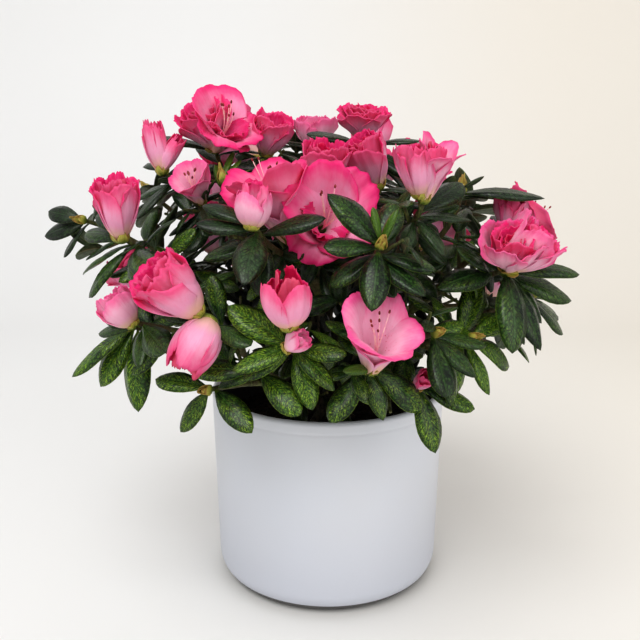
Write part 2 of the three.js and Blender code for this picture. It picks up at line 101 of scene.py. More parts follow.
def place(azimuth, height, reach):
    """A point given as the planting plan gives it."""
    spot = heading(azimuth, 0) * reach
    spot.z = height
    return spot


def axes_round(direction):
    """Three square axes: the direction, the one nearest up, and the onlooker's right."""
    out = direction.normalized()
    up = Vector((0, 0, 1)) - out * out.z
    if up.length < 0.05:
        up = Vector((0, 1, 0)) - out * out.y
    up.normalize()
    return out, up, up.cross(out)


def spread(axes, open_angle, clock):
    """The direction that stands open_angle off the first axis, at a clock angle round it."""
    out, up, right = axes
    off, turn = math.radians(open_angle), math.radians(clock)
    aside = up * math.cos(turn) + right * math.sin(turn)
    return out * math.cos(off) + aside * math.sin(off)


class Line:
    """A Bezier curve that can be asked for the point at a share of its length."""

    STEPS = 60

    def __init__(self, *handles):
        shares = np.linspace(0, 1, self.STEPS + 1)[:, None]
        points = [np.array(handle, float)[None, :] for handle in handles]
        while len(points) > 1:
            points = [a * (1 - shares) + b * shares for a, b in zip(points, points[1:])]
        self.points = points[0]
        strides = np.linalg.norm(np.diff(self.points, axis=0), axis=1)
        self.reached = np.concatenate([[0], np.cumsum(strides)])
        self.length = float(self.reached[-1])

    def at(self, share):
        want = min(max(share, 0), 1) * self.length
        return Vector([np.interp(want, self.reached, self.points[:, k]) for k in range(3)])

    def along(self, share):
        """The way it runs there."""
        lo, hi = max(share - 0.01, 0), min(share + 0.01, 1)
        return (self.at(hi) - self.at(lo)).normalized()


first_stream = seeded(1)
print("first draws of seed 1:", [round(first_stream(), 4) for _ in range(3)])

# %% [markdown]
# ## The planting plan
# A plant could be grown from nothing but chance, but then no shoot would stand where the
# real one does. So the side that is seen first is planted shoot by shoot, as a gardener
# would note it down, and the rule fills in the rest. A shoot's tip is its azimuth, height
# and reach. Its turns are the clock angles, seen from outside, of the leaves that stand
# round its tip. Each bloom is its form, azimuth, elevation, length and mouth radius, and
# it may have a dress of its own and the length of its stalk. A shoot can lean another way
# than outwards, wear larger leaves, carry young ones, or stay airy, without finer twigs.

# %% The seen side
def shoot(tip, turns, *blooms, **more):
    return {"tip": tip, "turns": turns, "blooms": blooms, **more}


SEEN_SIDE = {
    "left_high": [
        shoot((-66, 266, 103), (285, 55, 110, 165, 235), ("bud", -80, 78, 27, 6.2),
              ("bud", 74, 56, 22, 4.6)),
        shoot((-54, 250, 88), (300, 120, 190, 228), ("open", -22, 52, 22, 12, "shaded"),
              young=(20, 45, 70)),
        shoot((-47, 260, 80), (), lean=(-47, 80), young=(335, 8, 45, 290), airy=True),
    ],
    "top_left": [
        shoot((-65, 278, 72), (265, 85, 110, 160, 205), ("double", -44, 64, 28, 15),
              ("open", 38, 42, 29, 20, "banner"), lean=(-10, 65)),
        shoot((-55, 275, 44), (170,), ("half", 30, 60, 24, 11, "ragged")),
    ],
    "left_mid": [
        shoot((-54, 233, 136), (290, 262, 240, 205, 110), ("half", -20, 84, 31, 13, "tattered"),
              leaf=1.2),
        shoot((-84, 234, 149), (280, 250, 222, 20), lean=(-32, 15)),
    ],
    "left_low": [
        shoot((-44, 193, 146), (282, 258, 100, 145), ("half", -80, 55, 20, 9, "pale"),
              airy=True),
        shoot((-26, 197, 136), (275, 95, 180), ("half", -68, 46, 33, 15.4, "ragged", 8),
              ("half", -44, -54, 29, 12.5, "drooping"), airy=True),
        shoot((-60, 180, 128), (230, 200, 160, 62), lean=(-28, 22), leaf=1.45, airy=True),
    ],
    "front_low_left": [
        shoot((-28, 160, 131), (205, 285, 115, 60), leaf=0.95, airy=True),
        shoot((-17, 172, 128), (275, 240, 120), leaf=1.15, airy=True),
    ],
    "front_high": [
        shoot((-17, 245, 127), (292, 262, 165, 185, 75), ("half", 60, 84, 20, 8.4, "furled"),
              young=(292,)),
        shoot((-13, 233, 90), (200,), ("open", -58, 66, 42, 22)),
        shoot((-3, 236, 76), (), ("open", 8, 24, 35, 25, "gaping")),
        shoot((-3, 257, 64), (), ("double", 20, 74, 27, 12.5, "frilled")),
        shoot((10, 236, 134), (325, 268, 190, 25, 115, 150), young=(350, 20)),
    ],
    "top_front": [
        shoot((50, 282, 26), (258, 103, 132, 235), ("double", 12, 80, 22, 15), lean=(0, 70),
              leaf=1.1),
        shoot((-152, 277, 17), (60,), ("half", -20, 82, 22, 12, "pale")),
        shoot((30, 258, 55), (120,), ("double", -52, 60, 31, 12.5, "frilled")),
    ],
    "front_low": [
        shoot((-8, 189, 139), (280, 255, 312, 128, 95, 160),
              ("half", -8, 82, 27, 11, "parted", 11), ("bud", 62, 34, 13, 5, "pale"),
              leaf=1.02),
    ],
    "front_low_right": [
        shoot((9, 175, 129), (92, 122, 165, 278, 218), ("open", 14, 58, 33, 21, "funnel"),
              young=(268,)),
        shoot((24, 190, 128), (300, 190, 140, 100, 225)),
        shoot((22, 162, 122), (172, 120), ("bud", 20, 40, 13, 5)),
    ],
    "right_high": [
        shoot((25, 249, 108), (60, 95, 170, 215), ("half", -28, 78, 25, 11, "fluted", 9),
              ("open", 40, 70, 26, 12, "funnel", 7)),
        shoot((50, 255, 94), (136, 108, 82, 300), lean=(50, 84), leaf=1.25),
    ],
    "right_mid": [
        shoot((49, 217, 126), (195, 168, 138, 85, 108, 270),
              ("double", -4, 56, 26, 15, "rosette"), ("double", 80, 48, 29, 13, "rosette"),
              lean=(22, 25), leaf=1.3),
        shoot((60, 234, 114), (270, 62, 110), ("half", 24, 82, 19, 7.4)),
    ],
    "right_low": [
        shoot((40, 180, 117), (80, 120, 170, 215, 30), leaf=1.15),
        shoot((64, 196, 126), (150, 90, 120, 182, 50), leaf=1.25),
    ],
}

# %% [markdown]
# ## The far side
# Nobody noted down the back of the plant, so every mass there gets the same three shoots,
# spread round its own azimuth and height, on a rounded outline.

# %% The far side
FAR_SIDE = [
    ("right_side", 113, 226), ("right_back_low", 120, 184), ("back_right", 146, 242),
    ("back_low", 164, 186), ("back_left", -162, 250), ("left_back_low", -142, 184),
    ("left_back", -116, 242), ("left_side_low", -100, 184),
]
FAR_SPREAD = [(-15, -8, 1), (13, 6, 1), (2, 26, 0.68)]  # turn, rise, share of reach
FAR_TOP, FAR_BLOOM_ROOM = 284, 20
FAR_BLOOMS = [
    [("open", 0, 35, 36, 24)],
    [],
    [("double", -25, 55, 29, 18), ("half", 40, 60, 26, 10)],
    [("half", 10, 70, 32, 13)],
    [],
]
CROWN_REACH, WIDEST_LEVEL, CROWN_RISE = 134, 195, 108


def crown_reach(height):
    """How far the crown reaches at a height, by a rounded outline."""
    level = (height - WIDEST_LEVEL) / CROWN_RISE
    return CROWN_REACH * math.sqrt(max(0, 1 - level * level))


def far_shoots(row, azimuth, height):
    """Its shoots. The rule turns the leaves round their tips."""
    shoots = []
    for k, (turn, rise, share) in enumerate(FAR_SPREAD):
        level = min(height + rise, FAR_TOP)
        widening = CROWN_REACH / crown_reach(level)
        blooms = FAR_BLOOMS[(row * len(FAR_SPREAD) + k) % len(FAR_BLOOMS)]
        reach = share * crown_reach(level) - (FAR_BLOOM_ROOM if blooms else 0)
        blooms = [(form, azimuth + turn + aside, *rest) for form, aside, *rest in blooms]
        shoots.append(shoot((azimuth + turn * widening, level, reach), None, *blooms))
    return shoots


plan = [{"name": name, "shoots": shoots} for name, shoots in SEEN_SIDE.items()]
for row, (name, azimuth, height) in enumerate(FAR_SIDE):
    plan.append({"name": name, "shoots": far_shoots(row, azimuth, height), "far": True})
print(sum(len(mass["shoots"]) for mass in plan), "shoots in", len(plan), "masses")

# %% [markdown]
# ## Trunk, boughs and twigs as lines
# Wood is easiest to plan as lines with a radius: the curve says where a limb goes, and its
# thickness comes later. The trunk leans a little, each bough leaves it at a height that
# suits its mass, and the first twig of a mass carries on where its bough ends.

# %% Lines of the wood
SOIL_LEVEL = 104
TRUNK_TOP, TRUNK_LEAN = 158, (-4, 3)
FIRST_FORK, LAST_FORK = 113, TRUNK_TOP - 6
LOWEST_MASS, MASS_RISE = 160, 125
HUB_SHARE = 0.5
UPWARD_DRIFT = Vector((0, 0, 0.25))
BOUGH_HANDLE, TWIG_HANDLE, LEADER_HANDLE = 0.5, 0.42, 0.38
FIRST_NODE, NODE_PITCH, LAST_NODE_SHARE = 7, 5, 0.6
CROWN_ROOT = Vector((0, 0, 135))
AIR = 0.3

trunk_line = Line(
    (0, 0, SOIL_LEVEL + AIR),
    (0, 0, (SOIL_LEVEL + TRUNK_TOP) / 2),
    (*TRUNK_LEAN, TRUNK_TOP),
)


def set_out(mass):
    """Where the mass's bough leaves the trunk, where it ends, and how it runs."""
    tips = [place(*shoot["tip"]) for shoot in mass["shoots"]]
    middle = sum(tips, Vector()) / len(tips)
    climb = min(max((middle.z - LOWEST_MASS) / MASS_RISE, 0), 1)
    fork_height = FIRST_FORK + (LAST_FORK - FIRST_FORK) * climb
    fork = trunk_line.at((fork_height - SOIL_LEVEL) / (TRUNK_TOP - SOIL_LEVEL))
    hub = fork.lerp(middle, HUB_SHARE)
    drift = ((middle - hub).normalized() + UPWARD_DRIFT).normalized()
    bend = hub - drift * BOUGH_HANDLE * (hub - fork).length
    mass.update(hub=hub, drift=drift, bough=Line(fork, bend, hub))


def twig_line(start, tip, lean):
    return Line(start, tip - lean * TWIG_HANDLE * (tip - start).length, tip)


def leader_line(start, drift, tip, lean):
    stride = LEADER_HANDLE * (tip - start).length
    return Line(start, start + drift * stride, tip - lean * stride, tip)


def sprout(mass, index):
    """The main twigs: the first carries on where the bough ends, the others leave it."""
    foot = mass["hub"] + mass["drift"] * AIR
    stem = None
    mass["twigs"] = []
    for k, shoot in enumerate(mass["shoots"]):
        tip = place(*shoot["tip"])
        lean = heading(*shoot["lean"]) if "lean" in shoot else (tip - CROWN_ROOT).normalized()
        climb = FIRST_NODE + NODE_PITCH * (k - 1)
        if stem is None:
            stem = line = leader_line(foot, mass["drift"], tip, lean)
        else:
            share = min(LAST_NODE_SHARE, climb / stem.length)
            line = twig_line(stem.at(share), tip, lean)
        mass["twigs"].append({
            "tip": tip, "lean": lean, "line": line, "blooms": shoot["blooms"],
            "turns": shoot["turns"], "size": shoot.get("leaf", 1),
            "young": shoot.get("young", ()), "airy": shoot.get("airy", False),
            "far": mass.get("far", False), "random": seeded(index * 10 + k + 1),
        })


for index, mass in enumerate(plan):
    set_out(mass)
    sprout(mass, index)
print("longest twig", round(max(t["line"].length for m in plan for t in m["twigs"])), "mm")

# %% [markdown]
# ## The space round each bloom and each mass
# Leaves have to grow past the blooms and not through them. A bloom is stood for by a cone
# or a cup, which is enough to tell inside from outside, and the twigs by balls. A leaf is
# tested at a few points along it, all at once, with arrays.

# %% Room for a leaf
POT_HEIGHT, RIM_RADIUS, FOOT_RADIUS, POT_WALL = 126, 75, 72.4, 5
BLOOM_SINK, BLOOM_OVERTOP = 2, 1.06
CUP_FOOT, CUP_SPREAD, FUNNEL_FOOT = 0.3, 1.8, 0.1  # radii as shares of the mouth
LEAF_AIR, SOIL_AIR = 0.5, 2
OVERREACH = 20
TWIG_BALL, BALL_PITCH = 1.9, 7

flowers = []
for mass in plan:
    for twig in mass["twigs"]:
        for form, azimuth, elevation, length, mouth, *extra in twig["blooms"]:
            axes = axes_round(heading(azimuth, elevation))
            dress, stalk = extra[0] if extra else form, extra[1] if extra[1:] else 0
            flowers.append({
                "form": form, "axes": axes, "length": length, "mouth": mouth,
                "dress": dress, "stalk": stalk, "tip": twig["tip"],
                "base": twig["tip"] + axes[0] * (stalk - BLOOM_SINK),
                "mass": mass["name"], "far": twig["far"],
            })


def air_to_flower(flower, points):
    """How far each point is outside a bloom: below nothing for a point within it."""
    off = points - np.array(flower["base"])
    height = off @ np.array(flower["axes"][0])
    away = np.sqrt(np.maximum((off * off).sum(1) - height * height, 0))
    share = np.clip(height / flower["length"], 0, 1)
    if flower["form"] == "open":
        wall = flower["mouth"] * (FUNNEL_FOOT + share)
    else:
        wall = flower["mouth"] * np.minimum(1, CUP_FOOT + CUP_SPREAD * share)
    above = height - BLOOM_OVERTOP * flower["length"]
    return np.maximum(np.maximum(away - wall, above), -height)


for mass in plan:
    balls = []
    for twig in mass["twigs"]:
        count = max(2, math.ceil(twig["line"].length / BALL_PITCH))
        balls += [twig["line"].at(k / count) for k in range(count + 1)]
    mass["balls"] = np.array(balls)
    mass["flowers"] = [flower for flower in flowers if flower["mass"] == mass["name"]]


def air_to_mass(mass, points):
    off = points[:, None, :] - mass["balls"][None, :, :]
    air = np.sqrt((off * off).sum(2)).min(1) - TWIG_BALL
    for flower in mass["flowers"]:
        air = np.minimum(air, air_to_flower(flower, points))
    return air


def in_pot(points):
    """Whether a leaf would touch the pot or the soil. It may hang over the soil."""
    away, height = np.hypot(points[:, 0], points[:, 1]), points[:, 2]
    beside_wall = (away < RIM_RADIUS + LEAF_AIR) & (height < POT_HEIGHT + LEAF_AIR)
    over_soil = (away < RIM_RADIUS - POT_WALL - SOIL_AIR) & (height > SOIL_LEVEL + SOIL_AIR)
    return bool((beside_wall & ~over_soil).any())


def in_own_space(mass, points):
    """Whether a leaf stays nearer to its own mass than to any other, give or take."""
    own = air_to_mass(mass, points) - OVERREACH
    return all((air_to_mass(other, points) > own).all() for other in plan if other is not mass)


print(len(flowers), "blooms")


# %% [markdown]
# ## Growing the leaves
# An azalea carries its leaves in whorls at the tips of its shoots, with a few more down the
# twig. A scattering over a surface would put them at random angles, so each leaf is grown
# from its stem. It stands off the stem by an angle, is held so that its face looks the way
# the shoot points and up to the light, and hangs a little under its own weight. Whether
# there is room for it is tested against the blooms, the other masses and the leaves that
# came before.

# %% One leaf
LEAF_LENGTH, LEAF_SLENDERNESS, ROOT_SINK = 33, 0.4, 0.9
HANGING, SKYWARD = Vector((0, 0, -0.7)), Vector((0, 0, 0.9))


def new_leaf(stem, axes, open_angle, clock, size, random):
    """A leaf, give or take: its angles in degrees, its length, width, sag and roll."""
    along = spread(axes, open_angle + 16 * (random() - 0.5), clock + 14 * (random() - 0.5))
    length = LEAF_LENGTH * size * (0.84 + 0.32 * random())
    width = length * LEAF_SLENDERNESS * (0.86 + 0.28 * random())
    sag = 0.04 + 0.22 * random()
    roll = 0.5 * (random() - 0.5)
    look = axes[0] + SKYWARD
    face = (look - along * look.dot(along)).normalized()
    face = (face + along.cross(face) * roll).normalized()
    droop = (HANGING - face).normalized()
    return {
        "root": stem - along * ROOT_SINK, "along": along, "face": face,
        "side": along.cross(face), "droop": droop,
        "length": length, "width": width, "sag": sag,
    }


SHARES = np.array([0.3, 0.3, 0.54, 0.54, 0.54, 0.77, 0.77, 0.9, 1.0])
ASIDES = np.array([0.25, -0.25, 0.5, -0.5, 0, 0.4, -0.4, 0, 0])


def blade_points(leaf):
    """The points of a blade at which its room is tested."""
    along, side, droop = (np.array(leaf[key]) for key in ("along", "side", "droop"))
    reach = (leaf["length"] * SHARES)[:, None]
    hang = (leaf["length"] * leaf["sag"] * SHARES ** 2)[:, None]
    aside = (leaf["width"] * ASIDES)[:, None]
    return np.array(leaf["root"]) + along * reach + side * aside + droop * hang


first_leaf = new_leaf(Vector(), axes_round(Vector((0, 0, 1))), 76, 0, 1, seeded(1))
print("a first leaf:", round(first_leaf["length"], 1), "mm long")

# %% Room for a leaf among the others
BLADE_SPACING, BLADE_NEARBY = 3.0, 34
BLOOM_AIR, BLOOM_GRAZE = 0.6, -1.3
LIP_ZONE, LOWEST_FINE = RIM_RADIUS - 6, 148  # the small leaves keep clear of the pot's lip
MOST_POINTS = 40000
leaves = []
blade_cloud, blade_owner = np.zeros((MOST_POINTS, 3)), np.zeros(MOST_POINTS, int)
blade_count = whorl_count = 0


def has_room(points, mass, whorl, fine):
    """The leaves round a tip may graze a bloom and reach past their own mass."""
    if in_pot(points) or fine and not in_own_space(mass, points):
        return False
    air = BLOOM_AIR if fine else BLOOM_GRAZE
    if any((air_to_flower(flower, points) < air).any() for flower in flowers):
        return False
    cloud = blade_cloud[:blade_count]
    near = np.abs(cloud - points.mean(0)).max(1) < BLADE_NEARBY
    near &= blade_owner[:blade_count] != whorl
    gaps = points[:, None, :] - cloud[near][None, :, :]
    return not near.any() or (gaps * gaps).sum(2).min() >= BLADE_SPACING ** 2


def over_lip(points):
    away, height = np.hypot(points[:, 0], points[:, 1]), points[:, 2]
    return bool(((away > LIP_ZONE) & (height < LOWEST_FINE)).any())


def keep_leaf(leaf, mass, whorl, kind, fine=False):
    """Keep a leaf, and its points, if there is room for it."""
    global blade_count
    points = blade_points(leaf)
    if fine and over_lip(points) or not has_room(points, mass, whorl, fine):
        return
    blade_cloud[blade_count:blade_count + len(points)] = points
    blade_owner[blade_count:blade_count + len(points)] = whorl
    blade_count += len(points)
    leaf["kind"] = kind
    leaves.append(leaf)


print("room for", MOST_POINTS // len(SHARES), "leaves")

# %% Whorls and twigs
LEAF_PITCH, STEM_PITCH, STEM_BARE, STEM_CLOTHED = 2, 14, 16, 0.75
TIP_LEAVES = 6
TIP_START, UNDER_BLOOM, SIDE_START = 1, 3.5, 1
TIP_ANGLE, STEM_ANGLE, SIDE_ANGLE, TWIG_ANGLE = 76, 64, 68, 50
STEM_SIZE = 0.95


def golden_turns(count, random):
    """Clock angles a golden turn apart, from a random one on."""
    start = 360 * random()
    return [start + GOLDEN_TURN * k for k in range(count)]


def whorl_leaves(twig, turns, first, open_angle, size, random):
    """Leaves round a tip, the first one so many millimetres below it."""
    line, axes = twig["line"], axes_round(twig["lean"])
    return [new_leaf(line.at(1 - (first + LEAF_PITCH * k) / line.length), axes, open_angle,
                     clock, size, random) for k, clock in enumerate(turns)]


def tip_leaves(twig):
    random, turns = twig["random"], twig["turns"]
    turns = golden_turns(TIP_LEAVES, random) if turns is None else turns
    first = UNDER_BLOOM if twig["blooms"] else TIP_START
    return whorl_leaves(twig, turns, first, TIP_ANGLE, twig["size"], random)


def stem_leaves(twig):
    random, line = twig["random"], twig["line"]
    count = max(0, int((line.length * STEM_CLOTHED - STEM_BARE) // STEM_PITCH))
    made = []
    for k, clock in enumerate(golden_turns(count, random)):
        share = 1 - (STEM_BARE + STEM_PITCH * k) / line.length
        axes = axes_round(line.along(share))
        made.append(new_leaf(line.at(share), axes, STEM_ANGLE, clock, STEM_SIZE, random))
    return made


def side_twig(twig, share, stretch):
    random, line = twig["random"], twig["line"]
    start = line.at(share)
    lean = spread(axes_round(line.along(share)), TWIG_ANGLE, 360 * random())
    tip = start + lean * (stretch + 8 * random())
    return {"tip": tip, "lean": lean, "line": twig_line(start, tip, lean)}


print("whorls of", TIP_LEAVES, "leaves at a tip of the far side")

# %% [markdown]
# ## Which green a spray wears
# Leaves low on the plant have aged and are mottled yellow, and those near the top are dark
# and clean. The tint is dealt out by whorl, so that a spray is of one kind, and each kind
# becomes one joined piece with a plain material of its own.

# %% Growing
MIDDLE_AGE_LEVEL, AGEING_RANGE = 238, 62
MOTTLED_AGE, MID_AGE = 0.72, 0.1
YOUNG_ANGLE, YOUNG_SIZE, YOUNG_SLIMNESS = 44, 0.62, 0.66
BELOW_TIP = 12  # leaves further down a shoot are older than its tip
side_twigs = []
tints = seeded(4711)


def spray_kind(height):
    age = (MIDDLE_AGE_LEVEL - height) / AGEING_RANGE + 0.5 * (tints() - 0.5)
    if age > MOTTLED_AGE:
        return "mottled"
    return "mid" if age > MID_AGE else "dark"


def grow(mass, made, height, fine=True):
    """Grow the leaves of one spray in one green, as far as there is room."""
    global whorl_count
    whorl_count += 1
    kind = spray_kind(height)
    for leaf in made:
        keep_leaf(leaf, mass, whorl_count, kind, fine)


def grow_side(mass, twig, share, stretch, count, size, older):
    """Grow a side twig with a whorl of its own. It stays only if it carries a leaf."""
    side, random, before = side_twig(twig, share, stretch), twig["random"], len(leaves)
    turns = golden_turns(count, random)
    made = whorl_leaves(side, turns, SIDE_START, SIDE_ANGLE, size, random)
    grow(mass, made, side["tip"].z - older)
    if len(leaves) > before:
        side_twigs.append(side)


pairs = [(mass, twig) for mass in plan for twig in mass["twigs"]]
for index, (mass, twig) in enumerate(pairs):
    grow(mass, tip_leaves(twig), twig["tip"].z, fine=False)
    for leaf in whorl_leaves(twig, twig["young"], 0, YOUNG_ANGLE, YOUNG_SIZE,
                             seeded(700 + index)):
        leaf["width"] *= YOUNG_SLIMNESS
        keep_leaf(leaf, mass, whorl_count, "young")
for mass, twig in pairs:
    grow(mass, stem_leaves(twig), twig["tip"].z - BELOW_TIP)
for mass, twig in pairs:
    grow_side(mass, twig, 0.5, 20, 4, 0.92, BELOW_TIP)
print(len(leaves), "leaves where the solids have theirs")

# %% Finer twigs
# Share along the twig, length in mm, leaves in the whorl and their size.
FINER = [(0.68, 15, 5, 0.8), (0.34, 17, 5, 0.85), (0.82, 11, 4, 0.72)]
LOWER_WHORL = dict(first=9, open_angle=88, size=0.86)
INNER_SHARES = (0.45, 0.62, 0.8, 0.95)
full_pairs = [(mass, twig) for mass, twig in pairs if not twig["airy"]]
for row in FINER:
    for mass, twig in full_pairs:
        grow_side(mass, twig, *row, older=14)
for mass, twig in full_pairs:
    made = whorl_leaves(twig, golden_turns(5, tints), random=twig["random"], **LOWER_WHORL)
    grow(mass, made, twig["tip"].z - 10)
for index, mass in enumerate(plan):
    inner = {"line": mass["bough"], "random": seeded(900 + index)}
    for share in INNER_SHARES:
        grow_side(mass, inner, share, 16, 5, 0.85, older=0)
kinds = sorted({leaf["kind"] for leaf in leaves})
counts = {kind: sum(leaf["kind"] == kind for leaf in leaves) for kind in kinds}
print(len(leaves), "leaves:", counts, "on", len(side_twigs), "side twigs")

# %% [markdown]
# ## Writing node trees as sums
# A shader is a small formula, and a formula is easier to read as one. `Wire` stands for an
# output socket. Adding or multiplying wires adds the Math nodes that it takes, and `Maker`
# makes every other node: its type, its settings, then what goes into its sockets.

# %% Wires and makers
def sum_with(operation, swapped=False):
    """A Python operator that adds a Math node."""
    def work(wire, value):
        first, second = (value, wire) if swapped else (wire, value)
        return wire.maker.maths(operation, first, second)
    return work


class Wire:
    def __init__(self, maker, socket):
        self.maker, self.socket = maker, socket

    def other(self, name):
        return Wire(self.maker, self.socket.node.outputs[name])

    __add__ = __radd__ = sum_with("ADD")
    __mul__ = __rmul__ = sum_with("MULTIPLY")
    __sub__, __rsub__ = sum_with("SUBTRACT"), sum_with("SUBTRACT", swapped=True)
    __truediv__, __rtruediv__ = sum_with("DIVIDE"), sum_with("DIVIDE", swapped=True)
    __pow__ = sum_with("POWER")


class Maker:
    NODE_PITCH = 40

    def __init__(self, tree):
        self.tree = tree

    def node(self, kind, settings=None, inputs=None, output=0):
        """A node, and the wire of its output. A closing node has none."""
        node = self.tree.nodes.new(kind)
        node.location = (len(self.tree.nodes) * self.NODE_PITCH, 0)
        for name, value in (settings or {}).items():
            setattr(node, name, value)
        for name, value in (inputs or {}).items():
            self.feed(node.inputs[name], value)
        return None if output is None else Wire(self, node.outputs[output])

    def feed(self, socket, value):
        if isinstance(value, Wire):
            self.tree.links.new(value.socket, socket)
        else:
            socket.default_value = value

    def maths(self, operation, *values):
        return self.node("ShaderNodeMath", {"operation": operation}, dict(enumerate(values)))

    def smooth(self, value, start, end):
        """0 up to start, 1 from end on, and a soft step between them."""
        return self.node("ShaderNodeMapRange", {"interpolation_type": "SMOOTHSTEP"},
                         {"Value": value, "From Min": start, "From Max": end})

    def blend(self, factor, first, second):
        return self.node("ShaderNodeMix", {"data_type": "RGBA"},
                         {0: factor, 6: first, 7: second}, output=2)

    def vector(self, x, y, z=0.0):
        return self.node("ShaderNodeCombineXYZ", None, {0: x, 1: y, 2: z})

    def parts(self, vector):
        x = self.node("ShaderNodeSeparateXYZ", None, {0: vector})
        return x, x.other("Y"), x.other("Z")

    def length(self, vector):
        return self.node("ShaderNodeVectorMath", {"operation": "LENGTH"}, {0: vector}, 1)

    def noise(self, place, scale, detail=2.0, roughness=0.5):
        return self.node("ShaderNodeTexNoise", None, {
            "Vector": place, "Scale": scale, "Detail": detail, "Roughness": roughness})

    def cells(self, place, scale, feature="F1"):
        return self.node("ShaderNodeTexVoronoi", {"feature": feature},
                         {"Vector": place, "Scale": scale})


class Finish(Maker):
    """A material in the making. Values that never change go straight onto its shader."""

    def __init__(self, name, roughness, **fixed):
        self.material = bpy.data.materials.new(name)
        self.material.use_nodes = True
        self.material.node_tree.nodes.clear()
        super().__init__(self.material.node_tree)
        fixed = {label.replace("_", " "): value for label, value in fixed.items()}
        self.shader = self.node("ShaderNodeBsdfPrincipled", None,
                                {"Roughness": roughness, **fixed})

    def spot(self):
        """The place in the object's own space, in metres."""
        return self.node("ShaderNodeTexCoord", output=3)

    def bump(self, strength, distance, height):
        return self.node("ShaderNodeBump", None, {
            "Strength": strength, "Distance": distance, "Height": height})

    def worn(self, base, normal=None, rough=None, through=None):
        """Link what varies. A share of the light can pass through a thin sheet."""
        varying = {"Base Color": base, "Normal": normal, "Roughness": rough}
        for name, wire in varying.items():
            if wire:
                self.feed(self.shader.socket.node.inputs[name], wire)
        surface = self.shader
        if through:
            glow = self.node("ShaderNodeBsdfTranslucent", None,
                             {"Color": base, "Normal": normal})
            surface = self.node("ShaderNodeMixShader", None, {0: through, 1: surface, 2: glow})
        self.node("ShaderNodeOutputMaterial", None, {"Surface": surface}, None)
        return self.material


def colour(red, green, blue):
    """A colour given as it looks on screen, from 0 to 255, turned into light."""
    shares = (channel / 255 for channel in (red, green, blue))
    return tuple(s / 12.92 if s < 0.04045 else ((s + 0.055) / 1.055) ** 2.4
                 for s in shares) + (1.0,)


print("yellow-green as light:", [round(c, 3) for c in colour(120, 150, 50)])

# %% [markdown]
# ## From arrays and from trees to plain meshes
# Two ways of making meshes are used below. A shape with a formula is worked out as arrays
# and handed over whole. A shape that repeats or follows a path comes from Geometry Nodes:
# the tree is applied by taking the evaluated mesh, so that nothing live is left on a piece.

# %% Mesh makers
def plain_mesh(name, points, edges, faces):
    mesh = bpy.data.meshes.new(name)
    mesh.from_pydata(points, edges, faces, shade_flat=False)
    return mesh


def array_mesh(name, points, quads, uvs):
    """A mesh of four-sided faces, with its UV map, straight from arrays."""
    mesh = bpy.data.meshes.new(name)
    mesh.vertices.add(len(points))
    mesh.vertices.foreach_set("co", np.asarray(points, np.float32).ravel())
    mesh.loops.add(quads.size)
    mesh.loops.foreach_set("vertex_index", quads.ravel().astype(np.int32))
    mesh.polygons.add(len(quads))
    mesh.polygons.foreach_set("loop_start", np.arange(0, quads.size, 4, dtype=np.int32))
    mesh.polygons.foreach_set("use_smooth", np.ones(len(quads), bool))
    lay_uvs(mesh, uvs)
    mesh.update(calc_edges=True)
    mesh.validate()
    return mesh


def lay_uvs(mesh, uvs):
    layer = mesh.uv_layers.new(name="OFBake")
    layer.data.foreach_set("uv", np.asarray(uvs, np.float32).ravel())


def new_object(name, mesh, finish=None):
    piece = bpy.data.objects.new(name, mesh)
    bpy.context.scene.collection.objects.link(piece)
    if finish:
        mesh.materials.append(finish)
    return piece


def triangles(piece):
    return sum(len(face.vertices) - 2 for face in piece.data.polygons)


def report(*pieces):
    for piece in pieces:
        print(piece.name, triangles(piece), "triangles")


print("mesh makers ready")

# %% Tree makers
def new_tree(name, sockets):
    """An empty Geometry Nodes tree with its own named inputs, among them its finish."""
    tree = bpy.data.node_groups.new(name, "GeometryNodeTree")
    for way in ("INPUT", "OUTPUT"):
        tree.interface.new_socket(name="Geometry", in_out=way,
                                  socket_type="NodeSocketGeometry")
    for label, kind in {**sockets, "Finish": "Material"}.items():
        tree.interface.new_socket(name=label, in_out="INPUT", socket_type="NodeSocket" + kind)
    maker = Maker(tree)
    return tree, maker, maker.node("NodeGroupInput")


def realized(maker, geometry):
    return maker.node("GeometryNodeRealizeInstances", None, {0: geometry})


def end_tree(maker, entry, geometry):
    finished = maker.node("GeometryNodeSetMaterial", None, {
        0: geometry, "Material": entry.other("Finish")})
    maker.node("NodeGroupOutput", None, {"Geometry": finished}, None)
    print(maker.tree.name, "of", len(maker.tree.nodes), "nodes")


def attribute(maker, name, kind):
    return maker.node("GeometryNodeInputNamedAttribute", {"data_type": kind}, {"Name": name})


def set_attributes(mesh, **rows):
    """Values on a mesh's points: each row is of vectors, whole numbers or numbers."""
    for name, values in rows.items():
        values = np.array([tuple(v) if hasattr(v, "__len__") else v for v in values])
        whole = values.dtype.kind == "i"
        kind, key = ("INT" if whole else "FLOAT"), "value"
        if values.ndim == 2:
            kind, key = "FLOAT_VECTOR", "vector"
        mesh.attributes.new(name, kind, "POINT").data.foreach_set(key, values.ravel())


def applied(name, start_mesh, tree, **values):
    """Run a tree on a mesh and keep the result as a plain mesh object."""
    piece = new_object(name, start_mesh)
    modifier = piece.modifiers.new("growth", "NODES")
    modifier.node_group = tree
    for item in tree.interface.items_tree:
        if item.in_out == "INPUT" and item.name in values:
            modifier[item.identifier] = values[item.name]
    graph = bpy.context.evaluated_depsgraph_get()
    mesh = bpy.data.meshes.new_from_object(piece.evaluated_get(graph), depsgraph=graph)
    mesh.name = name
    piece.modifiers.remove(modifier)
    piece.data = mesh
    return piece


print("tree makers ready")

